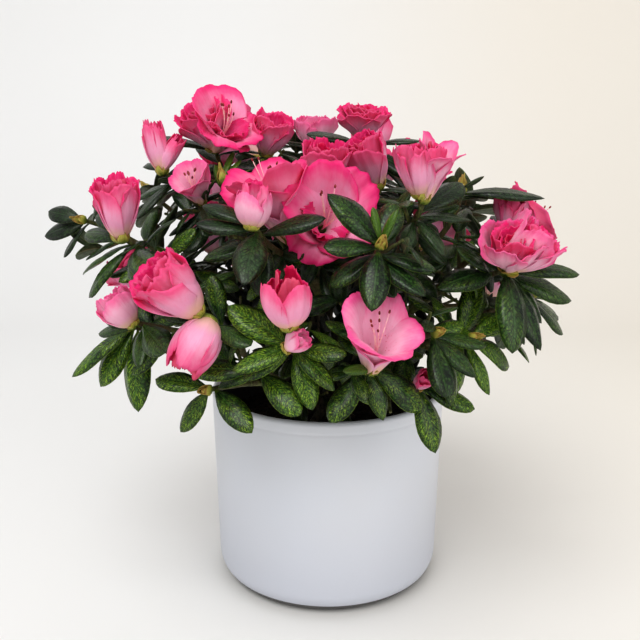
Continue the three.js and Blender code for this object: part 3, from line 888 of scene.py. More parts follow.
# %% [markdown]
# ## The leaf blade
# An azalea leaf is thin and leathery, widest past its middle, with a short stalk and a
# blunt tip that ends in a small point. It is arched along its length, its edges roll down,
# and it is creased along the midrib. A dozen blades differ in outline and in how far they
# arch. Each is a closed lens, a few dozen faces, because it is repeated a thousand times.
# A blade is one unit long and one wide. Every variant has its own square in the UV map, and
# the undersides share the last row of squares.

# %% Blade outlines
LEVELS = np.array([0, 0.07, 0.17, 0.3, 0.43, 0.56, 0.68, 0.79, 0.88, 0.95])
STALK, BLADE = 0.07, 0.93
STALK_HALF_WIDTH = 0.055
RIBS = (-1, -0.5, 0, 0.5, 1)
ARCHES = [0.2, 0.45, 0.7, 1.0]
OUTLINES = [(0.9, 0.72), (0.72, 0.74), (1.0, 0.62)]
VARIANTS = [(arch, outline) for arch in ARCHES for outline in OUTLINES]
CELLS, CELL_EDGE, CELL_SPAN = 4, 0.04, 0.92
KEEL_DROP, STALK_DROP, TIP_DROP = 0.012, 0.02, 0.004


def cell_uv(column, row, u, v):
    """A place in one square of the UV map, which has four squares a side."""
    return ((column + CELL_EDGE + CELL_SPAN * u) / CELLS,
            (row + CELL_EDGE + CELL_SPAN * v) / CELLS)


def blade_half_widths(rise, fall):
    blade = np.clip((LEVELS - STALK) / BLADE, 0, 1)
    widest = rise / (rise + fall)
    most = widest ** rise * (1 - widest) ** fall
    return np.maximum(blade ** rise * (1 - blade) ** fall / most / 2, STALK_HALF_WIDTH)


def blade_points_of(variant):
    """Five ribs on the upper side, then one along the keel, then the tip."""
    arch, outline = VARIANTS[variant]
    wave = seeded(60 + variant)
    phase, skew = 6.3 * wave(), 0.06 * (wave() - 0.5)

    def arched(level, x, lift):
        turn = arch * level
        y, z = math.sin(turn) / arch, -(1 - math.cos(turn)) / arch
        return x, y + lift * math.sin(turn), z + lift * math.cos(turn)

    points = []
    for level, reach in zip(LEVELS, blade_half_widths(*outline)):
        for aside in RIBS:
            x = aside * reach + skew * math.sin(math.pi * level)
            crease = 0.05 * (1 - (abs(aside) * 2 - 1) ** 2) - 0.1 * aside * aside
            lift = crease * reach * 2 * 0.44
            lift += 0.012 * math.sin(9 * level + phase + aside) * abs(aside) * reach * 2
            points.append(arched(level, x, lift))
    for level in LEVELS:
        points.append(arched(level, skew * math.sin(math.pi * level),
                             -KEEL_DROP - STALK_DROP * (1 - level)))
    return points + [(0, math.sin(arch) / arch, -(1 - math.cos(arch)) / arch - TIP_DROP)]


def blade_mesh(variant):
    points = blade_points_of(variant)
    rows, tip, keel = len(LEVELS), len(points) - 1, len(LEVELS) * len(RIBS)
    faces, uvs = [], []

    def add(corners, under=False):
        column, row = variant % CELLS, CELLS - 1 if under else variant // CELLS
        faces.append([index for index, u, v in corners])
        uvs.extend(cell_uv(column, row, u, v) for index, u, v in corners)

    for r, low in enumerate(LEVELS):
        a, k = r * 5, keel + r
        ribs = [(a + c, c / 4, low) for c in range(5)]
        if r + 1 < rows:
            high = LEVELS[r + 1]
            beyond = [(a + 5 + c, c / 4, high) for c in range(5)]
            for c in range(4):
                add([ribs[c], ribs[c + 1], beyond[c + 1], beyond[c]])
            add([ribs[0], beyond[0], (k + 1, 0.5, high), (k, 0.5, low)], under=True)
            add([(k, 0.5, low), (k + 1, 0.5, high), beyond[4], ribs[4]], under=True)
        else:
            for c in range(4):
                add([ribs[c], ribs[c + 1], (tip, 0.5, 1)])
            add([ribs[0], (tip, 0.5, 1), (k, 0.5, low)], under=True)
            add([(k, 0.5, low), (tip, 0.5, 1), ribs[4]], under=True)
    add([(0, 0, 0), (keel, 0.5, 0)] + [(c, c / 4, 0) for c in (4, 3, 2, 1)], under=True)
    mesh = plain_mesh(f"blade_{variant:02d}", points, [], faces)
    lay_uvs(mesh, uvs)
    return mesh


blade_store = bpy.data.collections.new("blades")
for variant in range(len(VARIANTS)):
    mesh = blade_mesh(variant)
    blade_store.objects.link(bpy.data.objects.new(mesh.name, mesh))
print(len(VARIANTS), "blades of", len(mesh.polygons), "faces")

# %% [markdown]
# ## The finish of a leaf
# The upper side is a dark, slightly greyed green with a soft sheen. The midrib and the side
# veins are pressed in, the net between them is fine, and the margin shows as a thin pale
# line. Old leaves are mottled yellow-green in streaks that run along the side veins. The
# pattern is drawn from the blade's own UV map, measured in millimetres of leaf, so that it
# bends and turns with it. A random tone, and a painted shade that darkens the leaves
# towards the heart of the crown, go by the place in the plant instead.

# %% Leaf material
# Where the painted shade in the heart of the crown lies, in metres, and how far it reaches.
CROWN_HEART, CROWN_SQUASH = 0.17, 1.1
HEART_RADIUS, HEART_EDGE = 0.06, 0.112
LEAF_MM = (14, 32)  # the leaf on which the pattern is measured
FULL_TURN = 6.283


def pattern_cell(maker):
    """Place across (0 to 1), place along (0 to 1), the cell's column and its row."""
    u, v, _ = maker.parts(maker.node("ShaderNodeUVMap", {"uv_map": "OFBake"}))
    u, v = u * CELLS, v * CELLS
    column, row = maker.maths("FLOOR", u), maker.maths("FLOOR", v)
    across = (u - column - CELL_EDGE) / CELL_SPAN
    along = (v - row - CELL_EDGE) / CELL_SPAN
    return across, along, column, row


def painted_crown_shade(maker, spot):
    """How much painted shade a leaf gets: 0 at the outside of the crown and 1 in its heart."""
    x, y, z = maker.parts(spot)
    out = maker.length(maker.vector(x, y, (z - CROWN_HEART) * CROWN_SQUASH))
    return 1 - maker.smooth(out, HEART_RADIUS, HEART_EDGE)


def leaf_finish(name, deep, light, mottle, mottling, sheen=0.4):
    maker = Finish("leaf_" + name, sheen, Specular_IOR_Level=0.16, Coat_Weight=0.5,
                   Coat_Roughness=0.27)
    smooth, noise, blend = maker.smooth, maker.noise, maker.blend
    deep, light, mottle = colour(*deep), colour(*light), colour(*mottle)
    across, along, column, row = pattern_cell(maker)
    under = maker.maths("GREATER_THAN", row, 2.5)
    off = maker.maths("ABSOLUTE", across - 0.5) * 2
    which = column * 17 + row * 31
    place = maker.vector((across - 0.5) * LEAF_MM[0], along * LEAF_MM[1], which)
    spot = maker.spot()
    wander = noise(place, 0.16, 3)
    tone = smooth(noise(spot, 26, 1), 0.36, 0.64)
    # Veins: the midrib, the side veins in a herringbone, and the net between them.
    midrib = 1 - smooth(off, 0.02, 0.13)
    herringbone = maker.maths("SINE", (along * 8.5 - off * 1.9 + wander * 0.5) * FULL_TURN)
    side_vein = smooth(herringbone, 0.8, 0.99) * (1 - smooth(off, 0.7, 1))
    net = maker.cells(place, 0.62, "DISTANCE_TO_EDGE")
    net_line = 1 - smooth(net, 0.02, 0.14)
    # The green between the veins, and the yellow streaks of age in it.
    patches = smooth(noise(place, 0.3, 4, 0.6), 0.3, 0.72)
    islands = smooth(net, 0.04, 0.3) * noise(place, 1.1, 2, 0.6) * 1.7
    base = blend(patches * 0.45 + islands * 0.6 + tone * 0.3 - 0.2, deep, light)
    old = noise(place, 0.13, 2) + along * 0.1 + tone * 0.24 - off * off * 0.12
    old = smooth(old, 0.62 - mottling * 0.22, 0.86 - mottling * 0.16)
    streaks = maker.vector(off * 4, along * LEAF_MM[1] - off * 6.5, which + across)
    flecks = smooth(noise(streaks, 1.25, 4, 0.78), 0.45, 0.64) * old
    base = blend(flecks * (1 - net_line * 0.5) * mottling, base, mottle)
    base = blend(side_vein * 0.35, base, deep)
    base = blend(midrib * 0.55, base, light)
    base = blend(smooth(off, 0.93, 1.0) * 0.6, base, mottle)
    base = blend((1 - smooth(along, 0.05, 0.16)) * 0.8, base, mottle)
    # The pale underside, and the painted shade that darkens leaves towards the heart of the
    # crown.
    pale = smooth(noise(place, 0.5, 3), 0.3, 0.7)
    pale = blend(pale, colour(74, 92, 62), colour(98, 116, 82))
    pale = blend(midrib * 0.7, pale, colour(138, 150, 104))
    base = blend(under, base, pale)
    base = blend(painted_crown_shade(maker, spot) * 0.95, base, colour(2, 4, 2))
    height = (1 - midrib * 0.9) * 0.8 - side_vein * 0.6 - net_line * 0.2 + wander * 0.6
    height = height * (1 - under) + (midrib * 0.8 + side_vein * 0.3) * under
    return maker.worn(base, maker.bump(1.0, 0.0009, height),
                      sheen - 0.05 + patches * 0.1 + under * 0.2)


LEAF_FINISHES = {
    "dark": leaf_finish("dark", (7, 18, 8), (52, 78, 44), (100, 126, 60), 0.3),
    "mid": leaf_finish("mid", (9, 25, 9), (58, 92, 40), (120, 150, 52), 0.45),
    "mottled": leaf_finish("mottled", (12, 35, 11), (70, 112, 42), (148, 180, 52), 1.0, 0.42),
    "young": leaf_finish("young", (64, 98, 28), (104, 140, 46), (150, 170, 64), 0.3),
}
print(list(LEAF_FINISHES))

# %% [markdown]
# ## Setting the blades on their stalks
# One tree places them all. Each point carries how its leaf is turned, how large it is and
# which blade it takes. The instances are realized and get their finish at the end, and the
# result is one plain mesh for each kind of green.

# %% Leaf tree
leaf_tree, maker, entry = new_tree("leaf_tree", {"Blades": "Collection"})
blades = maker.node("GeometryNodeCollectionInfo", None, {
    "Collection": entry.other("Blades"), "Separate Children": True, "Reset Children": True})
turned = maker.node("FunctionNodeEulerToRotation", None,
                    {"Euler": attribute(maker, "turn", "FLOAT_VECTOR")})
placed = maker.node("GeometryNodeInstanceOnPoints", None, {
    "Points": entry, "Instance": blades, "Pick Instance": True,
    "Instance Index": attribute(maker, "variant", "INT"),
    "Rotation": turned, "Scale": attribute(maker, "size", "FLOAT_VECTOR")})
end_tree(maker, entry, realized(maker, placed))

# %% Leaves
LEAST_BEND, BEND_PER_SAG = 0.22, 2.0


def stance(leaf, pick):
    """How a blade is turned and scaled, and which variant comes nearest to its sag."""
    bend = LEAST_BEND + BEND_PER_SAG * leaf["sag"]
    arch = int(np.argmin([abs(bend - arch) for arch in ARCHES]))
    face, along = leaf["face"], leaf["along"]
    inward = leaf["droop"].dot(-face)
    aside = (leaf["droop"] + face * inward) * leaf["sag"]
    lift = ARCHES[arch] / 2 - leaf["sag"] * inward
    along = (along + aside + face * lift).normalized()
    side = along.cross(face).normalized()
    axes = Matrix((side, along, side.cross(along))).transposed()
    outlines = len(OUTLINES)
    return axes.to_euler(), arch * outlines + int(pick * outlines) % outlines


def dressed_leaves(kind):
    rows = [leaf for leaf in leaves if leaf["kind"] == kind]
    mesh = plain_mesh("stalk_points", [leaf["root"] * MM for leaf in rows], [], [])
    choice = seeded(len(kind))
    turns, variants = zip(*(stance(leaf, choice()) for leaf in rows))
    sizes = [(leaf["width"] * MM, leaf["length"] * MM, leaf["length"] * MM) for leaf in rows]
    set_attributes(mesh, turn=turns, size=sizes, variant=variants)
    return applied(f"leaves_{kind}", mesh, leaf_tree, Blades=blade_store,
                   Finish=LEAF_FINISHES[kind])


leaf_pieces = [dressed_leaves(kind) for kind in kinds]
for blade in list(blade_store.objects):
    bpy.data.objects.remove(blade)
report(*leaf_pieces)

# %% [markdown]
# ## Trunk, boughs and twigs
# The old wood is grey-brown with fine lengthwise cracks, and the young shoots are green and
# hardly rough. A limb could be modelled ring by ring, but it only has to follow a line with
# a given thickness. So each line becomes a row of mesh edges that know their radius, and one
# tree turns them into tubes and pushes the skin in and out along its normals for the relief.

# %% Wood tree
LENGTHWISE = (1, 1, 0.35)  # the grain is drawn out along the limbs, which mostly climb
wood_tree, maker, entry = new_tree("wood_tree", {"Sides": "Int", "Relief": "Float",
                                                 "Grain": "Float"})
curve = maker.node("GeometryNodeMeshToCurve", None, {"Mesh": entry})
hoop = maker.node("GeometryNodeCurvePrimitiveCircle", None,
                  {"Resolution": entry.other("Sides"), "Radius": 1.0})
skin = maker.node("GeometryNodeCurveToMesh", None, {
    "Curve": curve, "Profile Curve": hoop, "Fill Caps": True,
    "Scale": attribute(maker, "radius", "FLOAT")})
stretched = maker.node("ShaderNodeVectorMath", {"operation": "MULTIPLY"},
                       {0: maker.node("GeometryNodeInputPosition"), 1: LENGTHWISE})
grain = maker.noise(stretched, entry.other("Grain"), 3.0)
push = maker.node("ShaderNodeVectorMath", {"operation": "SCALE"}, {
    0: maker.node("GeometryNodeInputNormal"), "Scale": (grain - 0.5) * entry.other("Relief")})
carved = maker.node("GeometryNodeSetPosition", None, {"Geometry": skin, "Offset": push})
rounded = maker.node("GeometryNodeSetShadeSmooth", None, {0: carved})
end_tree(maker, entry, realized(maker, rounded))
FLARE_FALL = 8


def limb_points(limbs):
    """Mesh edges along limbs: line, first and last radius, pace, and flare at the foot."""
    points, edges, radii = [], [], []
    for line, start, end, pace, *flare in limbs:
        count = max(3, math.ceil(line.length / pace))
        first = len(points)
        for k in range(count + 1):
            share = k / count
            radius = start + (end - start) * share
            radius += sum(flare) * math.exp(-FLARE_FALL * share)
            points.append(line.at(share) * MM)
            radii.append(radius * MM)
        edges += [(first + k, first + k + 1) for k in range(count)]
    mesh = plain_mesh("limb_lines", points, edges, [])
    set_attributes(mesh, radius=radii)
    return mesh


# %% [markdown]
# ## The finish of the wood
# Bark is darker in its cracks and lighter where it flakes, and the cracks run along the
# limb. Shoots are green on the side of this year's growth with brown where they age.

# %% Wood materials
def bark_finish(name, dark, light, green, rough):
    maker = Finish(name, rough)
    spot = maker.spot()
    long_way = maker.node("ShaderNodeMapping", None, {"Vector": spot, "Scale": (1, 1, 0.28)})
    ridge = maker.smooth(maker.noise(long_way, 620, 4, 0.65), 0.38, 0.62)
    patches = maker.smooth(maker.noise(spot, 60, 3), 0.42, 0.62)
    base = maker.blend(ridge, colour(*dark), colour(*light))
    base = maker.blend(patches * 0.8, base, colour(*green))
    bump = maker.bump(0.8, 0.0008, ridge + maker.noise(spot, 1500, 2) * 0.3)
    return maker.worn(base, bump, rough + 0.1 - ridge * 0.15)


bark = bark_finish("bark", (48, 38, 30), (112, 96, 78), (84, 82, 60), 0.78)
shoot_skin = bark_finish("shoot_skin", (62, 66, 32), (104, 112, 52), (92, 76, 48), 0.55)
print("bark and shoots")

# %% Wood
TRUNK_RADIUS, TRUNK_TOP_RADIUS, ROOT_FLARE = 7.2, 5, 4
BELOW_SOIL = 3
ROOTS, FIRST_ROOT, ROOT_TURN = 6, 20, 61
trunk_foot = Line((0, 0, SOIL_LEVEL - BELOW_SOIL), (0, 0, (SOIL_LEVEL + TRUNK_TOP) / 2),
                  (*TRUNK_LEAN, TRUNK_TOP))
limbs = [(trunk_foot, TRUNK_RADIUS, TRUNK_TOP_RADIUS, 1.5, ROOT_FLARE)]
for k in range(ROOTS):
    azimuth = FIRST_ROOT + ROOT_TURN * k
    root = Line((0, 0, 112), place(azimuth, 107, 7),
                place(azimuth, SOIL_LEVEL - BELOW_SOIL, 17 + 3 * (k % 3)))
    limbs.append((root, 4.2, 1.6, 1.6))
limbs += [(mass["bough"], 3.1, 2.0, 2.2) for mass in plan]
wood = applied("wood", limb_points(limbs), wood_tree, Sides=14, Relief=0.0026, Grain=190.0,
               Finish=bark)

shoots = [(twig["line"], 1.95, 1.35, 3) for mass, twig in pairs]
shoots += [(twig["line"], 1.25, 0.85, 3.5) for twig in side_twigs]
for flower in flowers:
    if flower["stalk"]:
        out = flower["axes"][0]
        shoots.append((Line(flower["tip"] - out, flower["base"] + out), 1.2, 1.2, 3))
twigs = applied("twigs", limb_points(shoots), wood_tree, Sides=8, Relief=0.0009, Grain=420.0,
                Finish=shoot_skin)
report(wood, twigs)


# %% [markdown]
# ## The petals
# The blooms are what the eye goes to. Each is a funnel or a cup of thin, soft petals with
# frilled and toothed margins, pale towards the foot and deep rose along the rim, with darker
# frills crowded in the mouth of the double ones. A petal is a sheet with a simple plan: it
# starts upright at the tube, opens outwards, wraps round the throat, and waves more and more
# towards its margin. Arrays make that sheet in a few lines, and give it its thickness.

# %% One petal
LINE_STEPS, SETTLE_TRIES = 40, 61
LIP_FROM, LIP_SPAN = 0.62, 0.38
MOST_WRAP = 2.2


def settle(measure, target, low, high):
    """The angle between low and high whose measure comes nearest to the target."""
    tries = np.linspace(low, high, SETTLE_TRIES)
    return float(tries[np.argmin([abs(measure(angle) - target) for angle in tries])])


def petal_line(start, end, length, foot, ring):
    """Radius and height along a petal's middle, and its angle off the bloom's axis."""
    shares = np.linspace(0, 1, LINE_STEPS + 1)
    lip = np.clip((shares - LIP_FROM) / LIP_SPAN, 0, 1) ** 2
    angles = start + (end - start) * shares ** ring["easing"]
    angles = np.radians(angles + ring["flare"] * lip)
    step = length / LINE_STEPS
    middle = (angles[1:] + angles[:-1]) / 2
    radius = foot + np.concatenate([[0], np.cumsum(np.sin(middle) * step)])
    height = np.concatenate([[0], np.cumsum(np.cos(middle) * step)])
    return shares, radius, height, angles


def petal_sheet(ring, length, width, start, end, foot, random, grid):
    """The middle surface of a petal in its bloom's axes: outwards, aside and up."""
    cols, rows = grid
    waves, ruffle = ring["waves"], ring["ruffle"] * width
    t = np.linspace(-1, 1, cols)[None, :]
    s = np.linspace(0, 1, rows)[:, None] ** 0.9
    phases = [FULL_TURN * random() for _ in range(7)]
    nibble = sum(np.sin((5.3 + 4.1 * k) * t + phases[k]) / (1.4 + k) for k in range(4))
    notch = np.array([random() - 0.5 for _ in range(cols)])[None, :]
    margin = 1 - ring["rounding"] * np.abs(t) ** 2.6
    margin = margin + ring["teeth"] * (0.03 * nibble + 0.09 * notch)
    share = s * margin
    known, radius, height, angles = petal_line(start, end, length, foot, ring)
    r, a, turn = (np.interp(share, known, line) for line in (radius, height, angles))
    # From the neck it widens to its full width at the belly, wrapped round the throat.
    spread_out = np.sin(np.pi / 2 * np.minimum(share / ring["belly"], 1)) ** 0.75
    half = width / 2 * (ring["neck"] + (1 - ring["neck"]) * spread_out)
    wrapped = ring["keep"] + (1 - ring["keep"]) * np.maximum(1 - share, 0) ** 0.8
    bend = wrapped * ring["hug"] / (r + 2.5) + share ** 1.5 * ring["curl"]
    bend = np.where(np.abs(bend) < 1e-3, 1e-3, bend)
    wrap = np.clip(bend * (t * half), -MOST_WRAP, MOST_WRAP)
    aside = np.sin(wrap) / bend
    inward = (1 - np.cos(wrap)) / bend
    # Ruffles grow towards the margin. Soft dents and a crease along the middle are all over.
    edge = share ** ring["depth"] * (0.45 + 0.55 * t * t)
    ripple = (np.sin(waves * np.pi * t + phases[4] + 1.2 * s)
              + 0.55 * np.sin(2.4 * waves * np.pi * t + phases[5])
              + 0.3 * np.sin(4.7 * waves * np.pi * t + phases[6]))
    soft = np.sin(2.1 * t + 3.1 * s + phases[0]) + 0.6 * np.sin(4.3 * s - 1.9 * t + phases[1])
    crease = -np.exp(-(t / 0.12) ** 2) * share * np.maximum(1 - share, 0) * 2.2
    inward = inward + (ruffle * edge * ripple * 0.5 + ring["soft"] * width * soft * np.sqrt(s)
                       + 0.03 * width * crease)
    slide = ruffle * 0.18 * edge * np.cos(2 * waves * np.pi * t + phases[2])
    r = r - inward * np.cos(turn) + slide * np.sin(turn)
    a = a + inward * np.sin(turn) + slide * np.cos(turn)
    return np.stack([r, aside, a], 2)


def shell(points, thickness):
    """Both sides of a sheet and its rim, as points, quads and how the quads lie in UV."""
    rows, cols, _ = points.shape
    normal = np.cross(np.gradient(points, axis=0), np.gradient(points, axis=1))
    normal /= np.maximum(np.linalg.norm(normal, axis=2, keepdims=True), 1e-9)
    both = np.concatenate([(points + normal * thickness / 2).reshape(-1, 3),
                           (points - normal * thickness / 2).reshape(-1, 3)])
    grid = np.arange(rows * cols).reshape(rows, cols)
    a, b, c, d = grid[:-1, :-1], grid[:-1, 1:], grid[1:, 1:], grid[1:, :-1]
    top = np.stack([a, d, c, b], 2).reshape(-1, 4)
    under = np.stack([a, b, c, d], 2).reshape(-1, 4) + rows * cols
    rim = np.concatenate([grid[0, :], grid[1:, -1], grid[-1, -2::-1], grid[-2:0:-1, 0]])
    nxt = np.roll(rim, -1)
    edge = np.stack([rim, nxt, nxt + rows * cols, rim + rows * cols], 1)
    return both, top, under, edge


def shell_uv(rows, cols, quads, cell, side):
    """UV places of a shell's quads: the inner side in the top rows, the outer below."""
    index = quads % (rows * cols)
    u, v = (index % cols) / (cols - 1), (index // cols) / (rows - 1)
    column, row = cell % CELLS, cell // CELLS % 2 + 2 * side
    return np.stack(cell_uv(column, row, u, v), 2)


class Sheets:
    """Gathers the shells of one kind, to be joined into one mesh."""

    def __init__(self):
        self.points, self.quads, self.uvs, self.count = [], [], [], 0

    def add(self, sheet, axes, base, azimuth, cell, thickness):
        """Stand a sheet at its azimuth round the bloom, with its faces outwards."""
        both, top, under, edge = shell(sheet, thickness)
        rows, cols, _ = sheet.shape
        out, up, right = (np.array(axis) for axis in axes)
        turn = math.radians(azimuth)
        radial = up * math.cos(turn) + right * math.sin(turn)
        aside = right * math.cos(turn) - up * math.sin(turn)
        stand = np.stack([radial, aside, out])
        quads = np.concatenate([top, under, edge])
        uv = np.concatenate([shell_uv(rows, cols, part, cell, side)
                             for part, side in ((top, 0), (under, 1), (edge, 1))])
        if np.linalg.det(stand) * self.volume(both, quads) < 0:
            quads, uv = quads[:, ::-1], uv[:, ::-1]
        self.points.append((np.array(base) + both @ stand) * MM)
        self.quads.append(quads + self.count)
        self.uvs.append(uv)
        self.count += len(both)

    @staticmethod
    def volume(points, quads):
        """Six times the room in a shell, below nothing if it is inside out."""
        a, b, c, d = (points[quads[:, k]] for k in range(4))
        return float((np.cross(b - a, c - a) * a).sum() + (np.cross(c - a, d - a) * a).sum())

    def piece(self, name, finish):
        joined = (np.concatenate(rows) for rows in (self.points, self.quads, self.uvs))
        return new_object(name, array_mesh(name, *joined), finish)


print("a petal's line has", LINE_STEPS, "steps")

# %% [markdown]
# ## The finish of the petals
# A petal is nearly white-pink at its foot and blushes to rose at its margin, the change
# being ragged and drawn out along fine veins. The inner frills of a double bloom are a deep
# crimson. Light passes through a petal, so part of the surface is translucent.

# %% Petal materials
PETAL_MM = (16, 22)  # the petal on which the pattern is measured


def petal_finish(name, foot, body, rim, spread_at, through=0.3):
    maker = Finish("petal_" + name, 0.5, Specular_IOR_Level=0.3)
    smooth, noise, blend = maker.smooth, maker.noise, maker.blend
    rim, deep_rim = colour(*rim), colour(214, 16, 84)
    across, along, column, row = pattern_cell(maker)
    off = maker.maths("ABSOLUTE", across - 0.5) * 2
    outer = maker.maths("GREATER_THAN", row, 1.5)
    which = column * 13 + row * 29
    place = maker.vector((across - 0.5) * PETAL_MM[0], along * PETAL_MM[1], which)
    cloud = noise(place, 0.14, 3, 0.6)
    streak = noise(maker.vector((across - 0.5) * 46 / (along + 0.35), along * 5, which),
                   0.9, 3, 0.6)
    # The blush: from the foot to the body, then raggedly to the rim, darkest at the edge.
    reach = maker.maths("MAXIMUM", along, (off ** 2.2) * (0.25 + along * 0.75))
    ragged = reach + (cloud - 0.5) * 0.42 + (streak - 0.5) * 0.12
    blush = smooth(ragged, spread_at, 1.02)
    base = blend(smooth(along + (cloud - 0.5) * 0.3, 0.0, 0.42), colour(*foot), colour(*body))
    base = blend(blush, base, rim)
    base = blend(smooth(streak, 0.5, 0.75) * (1 - blush) * 0.16, base, rim)
    base = blend(outer * 0.15, base, colour(255, 214, 232))
    base = blend(smooth(ragged, 0.95, 1.12) * 0.6, base, deep_rim)
    # Dots in the throat, and the warm foot of the tube outside.
    dots = 1 - smooth(maker.cells(place, 1.1), 0.12, 0.3)
    dots = dots * (1 - smooth(off, 0.2, 0.5)) * (1 - outer)
    dots = dots * smooth(along, 0.15, 0.3) * (1 - smooth(along, 0.45, 0.65))
    base = blend(dots * 0.7, base, deep_rim)
    tube = (1 - smooth(along, 0.05, 0.4)) * outer
    base = blend(tube * 0.62, base, colour(252, 206, 158))
    bump = maker.bump(0.35, 0.0006, streak * 0.6 + cloud * 0.8)
    return maker.worn(base, bump, 0.42 + cloud * 0.2, through)


PETAL_FINISHES = {
    "pale": petal_finish("pale", (255, 232, 234), (255, 200, 224), (248, 100, 168), 0.58),
    "blush": petal_finish("blush", (255, 224, 230), (255, 184, 218), (246, 54, 138), 0.46),
    "rose": petal_finish("rose", (255, 190, 216), (252, 122, 182), (238, 46, 128), 0.36),
    "crimson": petal_finish("crimson", (250, 128, 180), (244, 70, 138), (224, 22, 92), 0.3,
                            through=0.25),
}
print(list(PETAL_FINISHES))

# %% [markdown]
# ## How a bloom is put together
# Seventeen dresses are enough, from a furled bud and a half-open cup whose frills just show
# to an open funnel of five broad lobes and a rosette with ring within ring. Each is a list
# of rings, given as finish, number of petals, their length and width for the bloom, the
# angle off the axis at which they start, their share of the mouth, and how much they are
# ruffled, toothed and waved. The angle at which they end is found so that the bloom fills
# its own mouth. Where the end is given, as on a cup that closes, the start is found instead.
# The rest has usual values:
#
# - easing, flare: how soon a petal opens, and how far its lip turns out, in degrees
# - keep, hug, curl: how far it stays wrapped, how tightly, and how its sides curl
# - neck, belly: its width at the foot, and where it is widest
# - depth, rounding, soft: where ruffles begin, how round its tip is, and how dented it is
# - turn, at, step: where the ring starts, after the last or as it stands, and its pitch

# %% Rings of petals
USUAL = dict(easing=1.2, flare=0, keep=0.0, hug=1.0, curl=-0.02, neck=0.28, belly=0.7,
             depth=2.2, rounding=0.3, soft=0.035, turn=0)


def ring(finish, count, length, width, start, reach, ruffle, teeth, waves, **more):
    return dict(USUAL, finish=finish, count=count, length=length, width=width, start=start,
                reach=reach, ruffle=ruffle, teeth=teeth, waves=waves, **more)


